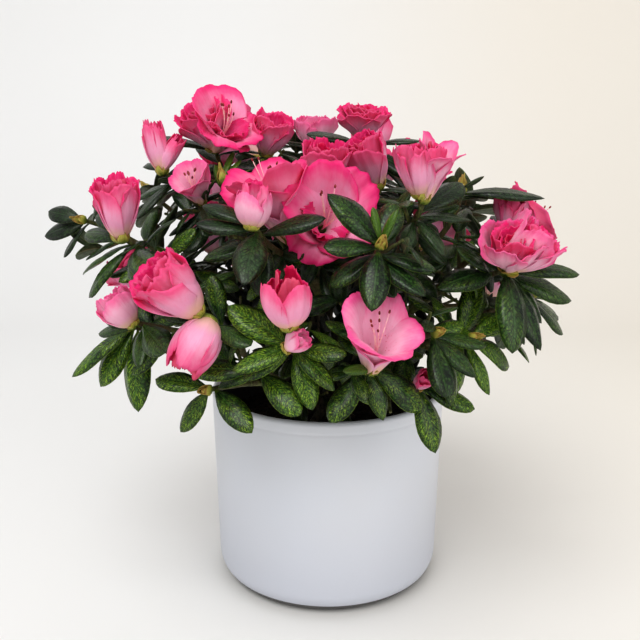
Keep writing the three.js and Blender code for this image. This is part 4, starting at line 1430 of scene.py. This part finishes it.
RINGS = {
    "open": [
        ring("blush", 5, 1.14, 1.6, 6, 1.0, 0.1, 0.4, 1.6, curl=-0.03, flare=18, neck=0.2,
             rounding=0.42, soft=0.06),
        ring("rose", 3, 0.9, 0.9, 3, 0.5, 0.2, 0.8, 2.2, turn=36, curl=0.02),
    ],
    "funnel": [
        ring("pale", 5, 1.24, 1.34, 8, 1.0, 0.08, 0.25, 1.3, easing=1.5, curl=-0.025, flare=34,
             neck=0.2, rounding=0.5, soft=0.06),
    ],
    "banner": [
        ring("blush", 1, 1.36, 2.1, 8, 1.12, 0.06, 0.3, 1.8, at=0, easing=1.3, curl=0.01,
             neck=0.25),
        ring("blush", 4, 1.1, 1.6, 8, 1.0, 0.1, 0.5, 1.8, at=72, step=72, curl=-0.03, flare=22,
             neck=0.2),
        ring("rose", 3, 0.92, 0.9, 6, 0.6, 0.24, 0.9, 2.4, at=112, step=68, curl=0.02),
    ],
    "gaping": [
        ring("blush", 3, 1.3, 1.5, 10, 1.08, 0.12, 0.4, 2.2, at=-62, step=58, easing=1.3,
             curl=0.0, flare=10, neck=0.25, rounding=0.5),
        ring("blush", 2, 1.14, 1.5, 8, 1.0, 0.14, 0.5, 2.2, at=128, step=84, curl=-0.03,
             flare=26, neck=0.2, rounding=0.5),
        ring("rose", 3, 0.86, 0.8, 6, 0.5, 0.24, 0.7, 2.2, at=150, step=60, curl=0.03),
    ],
    "shaded": [
        ring("pale", 5, 1.12, 1.6, 10, 1.0, 0.06, 0.3, 1.4, curl=-0.02, flare=14, neck=0.25,
             rounding=0.4),
    ],
    "double": [
        ring("blush", 5, 1.04, 1.6, 36, 1.0, 0.1, 0.5, 1.8, curl=-0.03, flare=26),
        ring("blush", 5, 1.0, 1.35, 20, 0.76, 0.15, 0.7, 2.1, turn=36, curl=0.0, flare=20),
        ring("rose", 4, 0.98, 1.15, 10, 0.52, 0.22, 0.8, 2.1, turn=10, curl=0.03, flare=10),
        ring("crimson", 4, 0.92, 0.95, 2, 0.3, 0.28, 0.8, 2.1, turn=50, curl=0.07),
    ],
    "rosette": [
        ring("pale", 5, 1.12, 1.7, 44, 1.0, 0.12, 0.6, 1.8, curl=-0.02, flare=40, depth=1.8,
             soft=0.06),
        ring("blush", 5, 1.04, 1.5, 26, 0.72, 0.14, 0.6, 1.8, turn=36, curl=0.0, flare=24,
             depth=1.8),
        ring("rose", 4, 0.94, 1.2, 14, 0.46, 0.2, 0.7, 2.0, turn=10, curl=0.03, flare=10),
        ring("crimson", 4, 0.84, 0.95, 4, 0.26, 0.24, 0.7, 2.0, turn=50, curl=0.07),
    ],
    "frilled": [
        ring("blush", 4, 1.04, 1.9, 40, 0.95, 0.1, 0.7, 2.2, keep=0.3, curl=0.0, flare=16),
        ring("rose", 4, 1.02, 1.6, 26, 0.8, 0.18, 0.6, 2.0, turn=36, curl=0.0, flare=24),
        ring("rose", 4, 1.0, 1.3, 16, 0.55, 0.26, 0.7, 2.0, turn=10, curl=0.02, flare=16),
        ring("crimson", 3, 0.96, 1.0, 4, 0.3, 0.3, 0.7, 1.8, turn=50, curl=0.05),
    ],
    "half": [
        ring("blush", 3, 1.04, 2.3, 64, 1.0, 0.09, 0.35, 1.7, end=-4, easing=0.55, keep=0.6,
             curl=0, flare=16, hug=1.05, depth=2.2, rounding=0.26, soft=0.05),
        ring("rose", 3, 1.14, 1.7, 44, 0.78, 0.14, 0.5, 1.9, end=-4, turn=60, easing=0.55,
             keep=0.6, curl=0, flare=2, rounding=0.24, soft=0.05),
        ring("crimson", 3, 1.0, 1.4, 30, 0.56, 0.2, 0.9, 2.2, end=-4, turn=20, easing=0.6,
             keep=0.4, curl=0.02),
    ],
    "parted": [
        ring("blush", 2, 0.98, 1.9, 68, 1.0, 0.1, 0.5, 1.5, end=-16, at=134, step=96,
             easing=0.55, keep=0.7, curl=0, flare=6, depth=2, rounding=0.34, soft=0.05),
        ring("rose", 2, 1.0, 1.8, 56, 0.86, 0.14, 0.6, 1.9, end=-16, at=306, step=90,
             easing=0.55, keep=0.6, curl=0, rounding=0.3, soft=0.06),
        ring("crimson", 3, 1.08, 1.1, 34, 0.5, 0.24, 0.7, 2, end=-12, at=160, easing=0.6,
             curl=0.04),
    ],
    "tattered": [
        ring("blush", 3, 1.0, 1.5, 64, 0.96, 0.12, 0.5, 1.6, end=0, at=122, step=62, easing=0.5,
             keep=0.4, curl=0, flare=34, depth=1.8, rounding=0.3, soft=0.07),
        ring("blush", 4, 1.08, 1.5, 56, 0.86, 0.18, 0.7, 2, end=0, at=290, step=48, easing=0.55,
             keep=0.4, curl=0, flare=18, rounding=0.24, soft=0.06),
        ring("rose", 4, 1.08, 1.2, 30, 0.56, 0.3, 0.7, 2, end=2, at=60, easing=0.6, curl=0.02,
             flare=12),
        ring("crimson", 2, 1.0, 1.0, 14, 0.3, 0.3, 0.7, 2, end=2, at=100, easing=0.6,
             curl=0.02),
    ],
    "fluted": [
        ring("blush", 3, 1.08, 2.1, 62, 1.0, 0.13, 1.1, 2.6, end=-2, easing=0.5, keep=0.5,
             curl=0, flare=14, hug=1.05, depth=1.5, rounding=0.16),
        ring("blush", 3, 1.12, 1.8, 46, 0.84, 0.16, 1.3, 2.8, end=-2, turn=60, easing=0.55,
             keep=0.5, curl=0, flare=6, depth=1.5, rounding=0.16),
        ring("crimson", 3, 1.06, 1.2, 34, 0.6, 0.24, 1.2, 2.4, end=-2, turn=20, easing=0.6,
             keep=0.4, curl=0.02),
    ],
    "ragged": [
        ring("blush", 3, 1.08, 2.3, 58, 0.98, 0.1, 0.6, 1.8, end=2, easing=0.55, keep=0.5,
             curl=0, flare=20, depth=1.7, rounding=0.3, soft=0.06),
        ring("blush", 3, 1.04, 1.9, 42, 0.8, 0.16, 0.7, 2.0, end=2, turn=60, easing=0.6,
             keep=0.4, curl=0, flare=14, rounding=0.3, soft=0.06),
        ring("rose", 4, 1.0, 1.3, 26, 0.52, 0.28, 0.9, 2.2, end=2, turn=10, easing=0.6,
             curl=0.02),
    ],
    "pale": [
        ring("pale", 3, 1.06, 2.2, 60, 1.0, 0.1, 0.8, 2.0, end=-8, easing=0.55, keep=0.6,
             curl=0, flare=8, depth=1.8, rounding=0.3, soft=0.05),
        ring("pale", 3, 1.06, 1.7, 40, 0.76, 0.16, 0.9, 2.2, end=-6, turn=60, easing=0.6,
             keep=0.5, curl=0, rounding=0.3),
    ],
    "furled": [
        ring("pale", 3, 1.0, 2.3, 70, 1.0, 0.08, 0.5, 1.8, end=-24, easing=0.6, keep=0.9,
             curl=0.02, flare=10, depth=2.4, rounding=0.4, soft=0.06),
        ring("blush", 3, 1.12, 1.3, 52, 0.72, 0.2, 0.8, 2.2, end=-14, turn=40, easing=0.6,
             keep=0.6, curl=0.02),
    ],
    "drooping": [
        ring("blush", 4, 1.12, 1.9, 70, 1.0, 0.04, 0.6, 2.0, end=-34, easing=0.6, keep=0.9,
             curl=0.02, depth=3, rounding=0.4),
        ring("crimson", 3, 1.1, 1.3, 52, 0.74, 0.12, 0.9, 2.2, end=-26, turn=40, easing=0.6,
             keep=0.8, curl=0.04),
    ],
    "bud": [
        ring("blush", 3, 1.04, 2.5, 66, 0.9, 0.05, 1.2, 2.4, end=-10, easing=0.5, keep=0.9,
             curl=0.02, hug=1.1, depth=1.6, rounding=0.25),
        ring("rose", 3, 1.08, 1.7, 44, 0.62, 0.12, 1.5, 2.4, end=-6, turn=40, easing=0.6,
             keep=0.7, curl=0.05),
    ],
}
print(len(RINGS), "dresses of", sum(len(rings) for rings in RINGS.values()), "rings")

# %% Blooms
PETAL_THICKNESS = 0.35
BROAD_PETAL = 13
BROAD_GRID, NARROW_GRID, FAR_GRID = (27, 17), (17, 13), (19, 12)
PETAL_FOOT, FOOT_PER_MOUTH = 1.0, 0.05
sheets = {(finish, far): Sheets() for finish in PETAL_FINISHES for far in (False, True)}


def ring_angles(ring, length, mouth, foot):
    """Start and end angle of a ring, so that it reaches its share of the mouth."""
    def radii(start, end):
        return petal_line(start, end, length, foot, ring)[1]

    target, start, end = mouth * ring["reach"], ring["start"], ring.get("end")
    if end is None:
        return start, settle(lambda angle: radii(start, angle)[-1], target, -10, 118)
    return settle(lambda angle: radii(angle, end).max(), target, 0, 88), end


def build_bloom(flower, number):
    random = seeded(3000 + number)
    first = 360 * random()
    for ring in RINGS[flower["dress"]]:
        first = ring.get("at", first + ring["turn"])
        step = ring.get("step", 360 / ring["count"])
        for k in range(ring["count"]):
            length = flower["length"] * ring["length"] * (0.93 + 0.14 * random())
            width = flower["mouth"] * ring["width"] * (0.9 + 0.2 * random())
            foot = PETAL_FOOT + FOOT_PER_MOUTH * flower["mouth"]
            mouth = flower["mouth"] * (0.92 + 0.16 * random())
            start, end = ring_angles(ring, length, mouth, foot)
            grid = BROAD_GRID if width > BROAD_PETAL else NARROW_GRID
            grid = FAR_GRID if flower["far"] else grid
            sheet = petal_sheet(ring, length, width, start, end, foot, random, grid)
            azimuth = first + step * (k + 0.16 * (random() - 0.5))
            sheets[ring["finish"], flower["far"]].add(
                sheet, flower["axes"], flower["base"], azimuth, int(8 * random()),
                PETAL_THICKNESS)


for number, flower in enumerate(flowers):
    build_bloom(flower, number)
bloom_pieces = [
    store.piece(f"petals_{finish}" + ("_back" if far else ""), PETAL_FINISHES[finish])
    for (finish, far), store in sheets.items() if store.count
]
report(*bloom_pieces)


# %% [markdown]
# ## Calyx and tip buds
# Yellow-green scales hold the foot of every bloom, and shoots that don't flower end in a
# small bud of ochre scales. They are petals in little, so the same sheet makes them: short,
# narrow and close to the stem.

# %% Scale material
def scale_finish():
    maker = Finish("scale", 0.5)
    smooth, blend = maker.smooth, maker.blend
    across, along, column, row = pattern_cell(maker)
    place = maker.vector((across - 0.5) * 5, along * 9, column * 13 + row * 29)
    cloud = maker.noise(place, 0.5, 3)
    ribs = maker.maths("SINE", across * 44 + cloud * 3)
    base = blend(smooth(along + (cloud - 0.5) * 0.7, 0.1, 0.75),
                 colour(104, 124, 44), colour(178, 172, 78))
    base = blend(smooth(along + (cloud - 0.5) * 0.5, 0.78, 1.0) * 0.7, base,
                 colour(150, 98, 50))
    base = blend(smooth(ribs, 0.4, 1) * 0.25, base, colour(108, 124, 36))
    return maker.worn(base, maker.bump(0.5, 0.0003, ribs * 0.4 + cloud), 0.42 + cloud * 0.2)


scale_material = scale_finish()
print("scales are", scale_material.name)

# %% Calyx
SCALE_GRID, SCALE_THICKNESS, SCALE_FOOT = (9, 7), 0.45, 1.5
SCALE = dict(USUAL, ruffle=0.05, teeth=0.8, waves=1.2, neck=0.75, belly=0.45, rounding=0.5)
CALYX = {
    "open": dict(start=20, reach=0.2), "double": dict(start=52, reach=0.42),
    "half": dict(start=74, end=-8, reach=0.55, easing=0.6),
    "bud": dict(start=74, end=-8, reach=0.6, easing=0.6),
}
CALYX_SCALES, CALYX_SINK = 6, 1.6
LEAST_GIRTH, GIRTH_PER_MOUTH, SCALE_PER_LENGTH = 5, 0.42, 0.25
scales = Sheets()


def add_scales(axes, base, mouth, count, length, width, form, random):
    ring = {**SCALE, **form}
    first = 360 * random()
    for k in range(count):
        long, wide = length * (0.75 + 0.5 * random()), width * (0.85 + 0.3 * random())
        start, end = ring_angles(ring, long, mouth, SCALE_FOOT)
        sheet = petal_sheet(ring, long, wide, start, end, SCALE_FOOT, random, SCALE_GRID)
        scales.add(sheet, axes, base, first + 360 / count * (k + 0.3 * random()),
                   int(8 * random()), SCALE_THICKNESS)


for number, flower in enumerate(flowers):
    add_scales(flower["axes"], flower["base"] - flower["axes"][0] * CALYX_SINK,
               flower["mouth"], CALYX_SCALES, flower["length"] * SCALE_PER_LENGTH,
               max(LEAST_GIRTH, flower["mouth"] * GIRTH_PER_MOUTH), CALYX[flower["form"]],
               seeded(5000 + number))
print("scales under", len(flowers), "blooms")

# %% Tip buds
BUD_SCALES, BUD_RADIUS, BUD_SINK = 3, 2.3, 1.2
BUD_RINGS = [  # with the length and the width of the scales
    (dict(start=78, end=-20, reach=1.0, easing=0.5, curl=0.2), 7.5, 5.4),
    (dict(start=60, end=-16, reach=0.75, easing=0.5, curl=0.25), 9.0, 4.6),
    (dict(start=30, end=-8, reach=0.4, easing=0.5, curl=0.3), 10.0, 3.4),
]
bare_tips = [twig for mass, twig in pairs if not twig["blooms"]]
for number, twig in enumerate(bare_tips):
    random = seeded(6000 + number)
    for form, length, width in BUD_RINGS:
        add_scales(axes_round(twig["lean"]), twig["tip"] - twig["lean"] * BUD_SINK,
                   BUD_RADIUS, BUD_SCALES, length, width, form, random)
scale_piece = scales.piece("scales", scale_material)
print(len(bare_tips), "tip buds")
report(scale_piece)

# %% [markdown]
# ## Stamens
# Open blooms show a spray of pale filaments that curve upwards, each with a dark anther at
# its end. The filaments are limbs too, so the wood's tree draws them, only finer. The
# anthers are one small bead, set at each end by the tree that set the leaves.

# %% Stamen materials
def plain_finish(name, one, other, rough, scale):
    maker = Finish(name, rough)
    cloud = maker.noise(maker.spot(), scale, 3)
    base = maker.blend(maker.smooth(cloud, 0.35, 0.65), colour(*one), colour(*other))
    return maker.worn(base, maker.bump(0.4, 0.0002, cloud), rough + cloud * 0.1)


filament_skin = plain_finish("filament", (246, 176, 190), (250, 214, 204), 0.4, 400)
anther_skin = plain_finish("anther", (98, 22, 34), (150, 52, 44), 0.6, 900)
print(filament_skin.name, "and", anther_skin.name)

# %% Stamens
STAMENS = 6
BEAD_SIDES, BEAD_HOOPS = 8, [(-0.6, 0.75), (0, 0.95), (0.6, 0.75)]
BEAD_SIZE = (0.0006, 0.0006, 0.0011)


def stamens(flower, random):
    """The lines of a bloom's filaments."""
    out, up, right = flower["axes"]
    base, length = flower["base"], flower["length"]
    lift = (Vector((0, 0, 1)) - out * out.z) * 0.3
    for _ in range(STAMENS):
        swing = math.radians(360 * random())
        aside = (up * math.cos(swing) + right * math.sin(swing)) * flower["mouth"]
        reach = length * (0.86 + 0.26 * random())
        end = base + out * reach + aside * (0.14 + 0.2 * random()) + lift * 12
        yield Line(base + out * 3, base + out * reach * 0.55 - lift * 10,
                   base + out * reach * 0.85 + aside * 0.15 - lift * 4, end)


def bead_mesh():
    """A small barrel: a point at either end and three hoops between."""
    n, last = BEAD_SIDES, BEAD_SIDES * len(BEAD_HOOPS) + 1
    angles = np.linspace(0, 2 * math.pi, n + 1)[:-1]
    points = [(0, 0, -1)]
    points += [(math.cos(a) * r, math.sin(a) * r, z) for z, r in BEAD_HOOPS for a in angles]
    points.append((0, 0, 1))
    beside = [(1 + k, 1 + (k + 1) % n) for k in range(n)]
    faces = [(0, b, a) for a, b in beside]
    faces += [(low + a, low + b, low + n + b, low + n + a)
              for low in range(0, last - 1 - n, n) for a, b in beside]
    faces += [(last, last - 1 - n + a, last - 1 - n + b) for a, b in beside]
    return plain_mesh("bead", points, [], faces)


lines = [line for number, flower in enumerate(flowers) if flower["form"] == "open"
         for line in stamens(flower, seeded(7000 + number))]
bead_store = bpy.data.collections.new("beads")
bead_store.objects.link(bpy.data.objects.new("bead", bead_mesh()))
ends = plain_mesh("anther_points", [line.at(1) * MM for line in lines], [], [])
set_attributes(ends, turn=[line.along(1).to_track_quat("Z", "Y").to_euler() for line in lines],
               size=[BEAD_SIZE] * len(lines), variant=[0] * len(lines))
filament_piece = applied(
    "filaments", limb_points([(line, 0.34, 0.24, 2.5) for line in lines]), wood_tree,
    Sides=6, Relief=0.0, Grain=100.0, Finish=filament_skin)
anther_piece = applied("anthers", ends, leaf_tree, Blades=bead_store, Finish=anther_skin)
bpy.data.objects.remove(bead_store.objects[0])
report(filament_piece, anther_piece)


# %% [markdown]
# ## The pot
# It is a straight, thin-walled ceramic pot with a round foot, a thin rounded lip and one
# faint line turned below it. A lathe shape is the natural way to make it: the profile is
# drawn once with smooth arcs and turned round the axis in many steps. Its glaze is a satin
# blue-grey, with the faint ripple and the tiny pin marks that glaze has close to. Painted
# shade darkens the glaze towards the foot, and paints it dark grey within the inner wall,
# where the inside of the pot lies in shade above the soil.

# %% Turning
def turned_mesh(name, profile, sides):
    """A profile of (radius, height) from the axis round to the axis, turned and closed."""
    angles = np.linspace(0, 2 * math.pi, sides, endpoint=False)
    points = [(0, 0, profile[0][1] * MM)]
    for radius, height in profile[1:-1]:
        points += [(radius * math.cos(a) * MM, radius * math.sin(a) * MM, height * MM)
                   for a in angles]
    points.append((0, 0, profile[-1][1] * MM))
    rings, last = len(profile) - 2, len(points) - 1
    faces = []
    for k in range(sides):
        n = (k + 1) % sides
        faces.append((0, 1 + n, 1 + k))
        for r in range(rings - 1):
            a, b = 1 + r * sides, 1 + (r + 1) * sides
            faces.append((a + k, a + n, b + n, b + k))
        top = 1 + (rings - 1) * sides
        faces.append((top + k, top + n, last))
    return plain_mesh(name, points, [], faces)


def round_corner(centre, radius, start, end, steps):
    return [(centre[0] + radius * math.cos(a), centre[1] + radius * math.sin(a))
            for a in np.radians(np.linspace(start, end, steps + 1))]


def wall_radius(height):
    return FOOT_RADIUS + (RIM_RADIUS - FOOT_RADIUS) * height / POT_HEIGHT


print("the wall leans out by", round(RIM_RADIUS - FOOT_RADIUS, 1), "mm")

# %% Profile of the pot
FOOT_ROUND, POT_FLOOR, POT_SIDES = 14, 6, 160
GROOVE_LEVEL, GROOVE_DEPTH, GROOVE_WIDTH = 118.5, 0.22, 0.9
lip, inner_round = POT_WALL / 2, FOOT_ROUND - POT_WALL
groove = [(wall_radius(z) - GROOVE_DEPTH * math.exp(-((z - GROOVE_LEVEL) / GROOVE_WIDTH) ** 2),
           z) for z in np.linspace(114, 122, 17)]
outside = [(0, 0), (40, 0), (56, 0)]
outside += round_corner((wall_radius(FOOT_ROUND) - FOOT_ROUND, FOOT_ROUND), FOOT_ROUND,
                        -90, 0, 16)
outside += [(wall_radius(z), z) for z in (30, 55, 80, 100)] + groove
rim = round_corner((RIM_RADIUS - lip, POT_HEIGHT - lip), lip, 0, 180, 12)
inner_side = wall_radius(POT_FLOOR + inner_round) - POT_WALL
inside = [(RIM_RADIUS - POT_WALL - 0.2, 105)]
inside += round_corner((inner_side - inner_round, POT_FLOOR + inner_round), inner_round,
                       0, -90, 6)
profile = outside + rim + inside + [(0, POT_FLOOR)]
print("pot profile of", len(profile), "points")

# %% Glaze
maker = Finish("glaze", 0.36)
spot = maker.spot()
pool = maker.noise(spot, 14, 2)
peel = maker.noise(spot, 260, 2)
pins = maker.smooth(maker.cells(spot, 190), 0.04, 0.0)
x, y, height = maker.parts(spot)
base = maker.blend(maker.smooth(pool, 0.3, 0.7), colour(213, 216, 224), colour(214, 216, 222))
# Painted shade: the glaze darkens towards the foot.
base = maker.blend(1 - maker.smooth(height, -0.02, 0.11), base, colour(189, 192, 202))
# Painted shade: within the inner wall's radius, inside the pot and under its foot, the glaze is
# dark grey.
painted_inner_shade = maker.maths("LESS_THAN", maker.length(maker.vector(x, y)),
                     (RIM_RADIUS - POT_WALL + 0.6) * MM)
base = maker.blend(painted_inner_shade, base, colour(64, 62, 62))
glaze = maker.worn(base, maker.bump(0.25, 0.0004, peel * 0.5 + pool - pins * 0.6),
                   0.33 + pool * 0.1)
pot_piece = new_object("ceramic_pot", turned_mesh("ceramic_pot", profile, POT_SIDES), glaze)
report(pot_piece)

# %% [markdown]
# ## The soil
# The root ball fills the pot to a little under its lip. Its top is dark peat, uneven, with
# crumbs and bits of fibre. The ball is turned like the pot and its top is pushed about by
# noise. The crumbs are scattered by a tree with a fixed seed and realized.

# %% Peat
maker = Finish("peat", 0.95)
spot = maker.spot()
clumps = maker.noise(spot, 170, 5, 0.65)
bits = maker.cells(spot, 420)
base = maker.blend(maker.smooth(clumps, 0.35, 0.7), colour(20, 14, 11), colour(62, 46, 34))
base = maker.blend(maker.smooth(bits, 0.18, 0.0) * 0.5, base, colour(110, 88, 62))
peat = maker.worn(base, maker.bump(1.0, 0.0015, clumps + bits * 0.4))
print(peat.name)

# %% Crumb tree
SOIL_DIP, TOP_LAYER, TOP_RELIEF = 2.5, 0.4, 0.006
crumb_tree, maker, entry = new_tree("crumb_tree", {
    "Crumbs": "Float", "Seed": "Int", "Crumb Size": "Float"})
position = maker.node("GeometryNodeInputPosition")
_, _, level = maker.parts(position)
top = maker.maths("GREATER_THAN", level, (SOIL_LEVEL - SOIL_DIP - TOP_LAYER) * MM)
bumps = maker.noise(position, 120.0, 3.0)
raised = maker.node("GeometryNodeSetPosition", None, {
    "Geometry": entry, "Selection": top,
    "Offset": maker.vector(0.0, 0.0, (bumps - 0.5) * TOP_RELIEF)})
scatter = maker.node("GeometryNodeDistributePointsOnFaces", None, {
    "Mesh": raised, "Selection": top, "Density": entry.other("Crumbs"),
    "Seed": entry.other("Seed")})
crumb = maker.node("GeometryNodeMeshIcoSphere", None, {"Radius": 1.0, "Subdivisions": 1})


def random_vector(least, most, seed):
    return maker.node("FunctionNodeRandomValue", {"data_type": "FLOAT_VECTOR"},
                      {0: least, 1: most, "Seed": seed})


spin = random_vector((0, 0, 0), (6.28, 6.28, 6.28), 5)
sized = maker.node("ShaderNodeVectorMath", {"operation": "SCALE"}, {
    0: random_vector((0.3, 0.3, 0.25), (1.3, 0.9, 0.7), 6),
    "Scale": entry.other("Crumb Size")})
strewn = maker.node("GeometryNodeInstanceOnPoints", None, {
    "Points": scatter, "Instance": crumb, "Scale": sized,
    "Rotation": maker.node("FunctionNodeEulerToRotation", None, {0: spin})})
both = maker.node("GeometryNodeJoinGeometry", None, {0: realized(maker, strewn)})
maker.feed(both.socket.node.inputs[0], raised)
end_tree(maker, entry, both)

# %% Soil
SOIL_GAP, SOIL_SIDES = 0.3, 96
soil_floor, soil_side = POT_FLOOR + SOIL_GAP, inner_side - SOIL_GAP
edge_level = SOIL_LEVEL - SOIL_DIP
edge_radius = wall_radius(edge_level) - POT_WALL - SOIL_GAP
soil_profile = [(0, soil_floor)]
soil_profile += round_corner((soil_side - inner_round, soil_floor + inner_round), inner_round,
                             -90, 0, 5)
soil_profile += [(edge_radius, edge_level)]
soil_profile += [(edge_radius * share, SOIL_LEVEL - SOIL_DIP * share ** 3)
                 for share in np.linspace(0.97, 0.03, 30)]
soil_profile += [(0, SOIL_LEVEL)]
soil_piece = applied("soil", turned_mesh("soil_ball", soil_profile, SOIL_SIDES), crumb_tree,
                     **{"Crumbs": 90000.0, "Seed": 3, "Crumb Size": 0.0021, "Finish": peat})
report(soil_piece)


# %% [markdown]
# ## Floor, light and camera
# The plant stands on a pale, seamless sweep, as in a small studio: a floor that curves up
# into a wall well behind the crown. Its paint varies a little at random, and painted shade
# makes it warmer and darker to the right and darker towards the front. Most of the light
# is even and pale, like that of a large tent. One big soft lamp, high in front and a little
# to the left, gives it a direction, and a second one fills the shadows from the right.

# %% The sweep
FLOOR_FRONT, SWEEP_FROM, SWEEP_RADIUS = -1.6, 0.62, 0.5  # metres
WALL_TOP, HALF_WIDTH, SWEEP_STEPS = 2.6, 2.4, 24


def sweep_mesh():
    path = [(FLOOR_FRONT, 0.0)]
    for a in np.linspace(0, math.pi / 2, SWEEP_STEPS):
        path.append((SWEEP_FROM + SWEEP_RADIUS * math.sin(a),
                     SWEEP_RADIUS - SWEEP_RADIUS * math.cos(a)))
    path.append((SWEEP_FROM + SWEEP_RADIUS, WALL_TOP))
    points = [(x, y, z) for y, z in path for x in (-HALF_WIDTH, HALF_WIDTH)]
    faces = [(2 * k, 2 * k + 1, 2 * k + 3, 2 * k + 2) for k in range(len(path) - 1)]
    return plain_mesh("sweep", points, [], faces)


maker = Finish("floor_paint", 0.6)
spot = maker.spot()
aside, away, _ = maker.parts(spot)
floor_tone_and_shade = maker.blend(maker.noise(spot, 2.2, 3), colour(231, 231, 231), colour(235, 235, 235))
# Painted shade: warmer and a little darker towards the right.
floor_tone_and_shade = maker.blend(maker.smooth(aside, -0.25, 0.5), floor_tone_and_shade, colour(233, 228, 220))
# Painted shade: darker towards the front, near the camera.
near = 1 - maker.smooth(away, -0.45, 0.15)
floor_tone_and_shade = maker.blend(near * 0.8, floor_tone_and_shade, colour(222, 221, 219))
sweep = new_object("sweep", sweep_mesh(), maker.worn(floor_tone_and_shade))
print("sweep of", len(sweep.data.polygons), "faces")

# %% Light
world = bpy.data.worlds.new("tent")
bpy.context.scene.world = world
world.use_nodes = True
sky = world.node_tree.nodes["Background"]
sky.inputs["Color"].default_value = (1.0, 0.998, 0.992, 1)
sky.inputs["Strength"].default_value = 0.51


CROWN_MIDDLE = Vector((0, 0, 0.2))


def lamp(name, size, watts, spot, tone):
    light = bpy.data.lights.new(name, "AREA")
    light.shape, light.size, light.energy, light.color = "DISK", size, watts, tone
    holder = new_object(name, light)
    holder.location = spot
    aim = CROWN_MIDDLE - Vector(spot)
    holder.rotation_euler = aim.to_track_quat("-Z", "Y").to_euler()


lamp("key", 1.5, 20.5, (-0.4, -1.0, 1.6), (1, 0.995, 0.98))
lamp("fill", 1.7, 9, (1.3, -1.3, 0.9), (1, 0.99, 0.975))
bpy.context.scene.view_settings.view_transform = "Standard"
bpy.context.scene.view_settings.look = "Medium High Contrast"
print("tent and two lamps")

# %% Camera
LOOK_DOWN = 13.68  # degrees
camera = bpy.data.cameras.new("camera")
camera.sensor_width, camera.lens = 36, 45.4
eye = new_object("camera", camera)
eye.location = (-0.00496, -0.5046, 0.291)
eye.rotation_euler = (math.radians(90 - LOOK_DOWN), 0, 0)
bpy.context.scene.camera = eye
print("camera", round(camera.lens, 1), "mm lens")

# %% [markdown]
# ## What stands for what
# Each piece rides on the one body of the plant and replaces the plain solids that it was
# grown over.

# %% Finish
DRESSING = [
    ([pot_piece], "glaze", ["pot"]),
    ([soil_piece], "peat", ["root_ball"]),
    ([wood], "bark", ["trunk"] + boughs),
    ([twigs], "bark", foliage),
    (leaf_pieces, "foliage", foliage),
    ([scale_piece], "foliage", foliage),
    (bloom_pieces + [filament_piece, anther_piece], "blossom", foliage),
]
for pieces, slot, replaced in DRESSING:
    for piece in pieces:
        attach(piece, "root")
        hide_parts(*replaced)
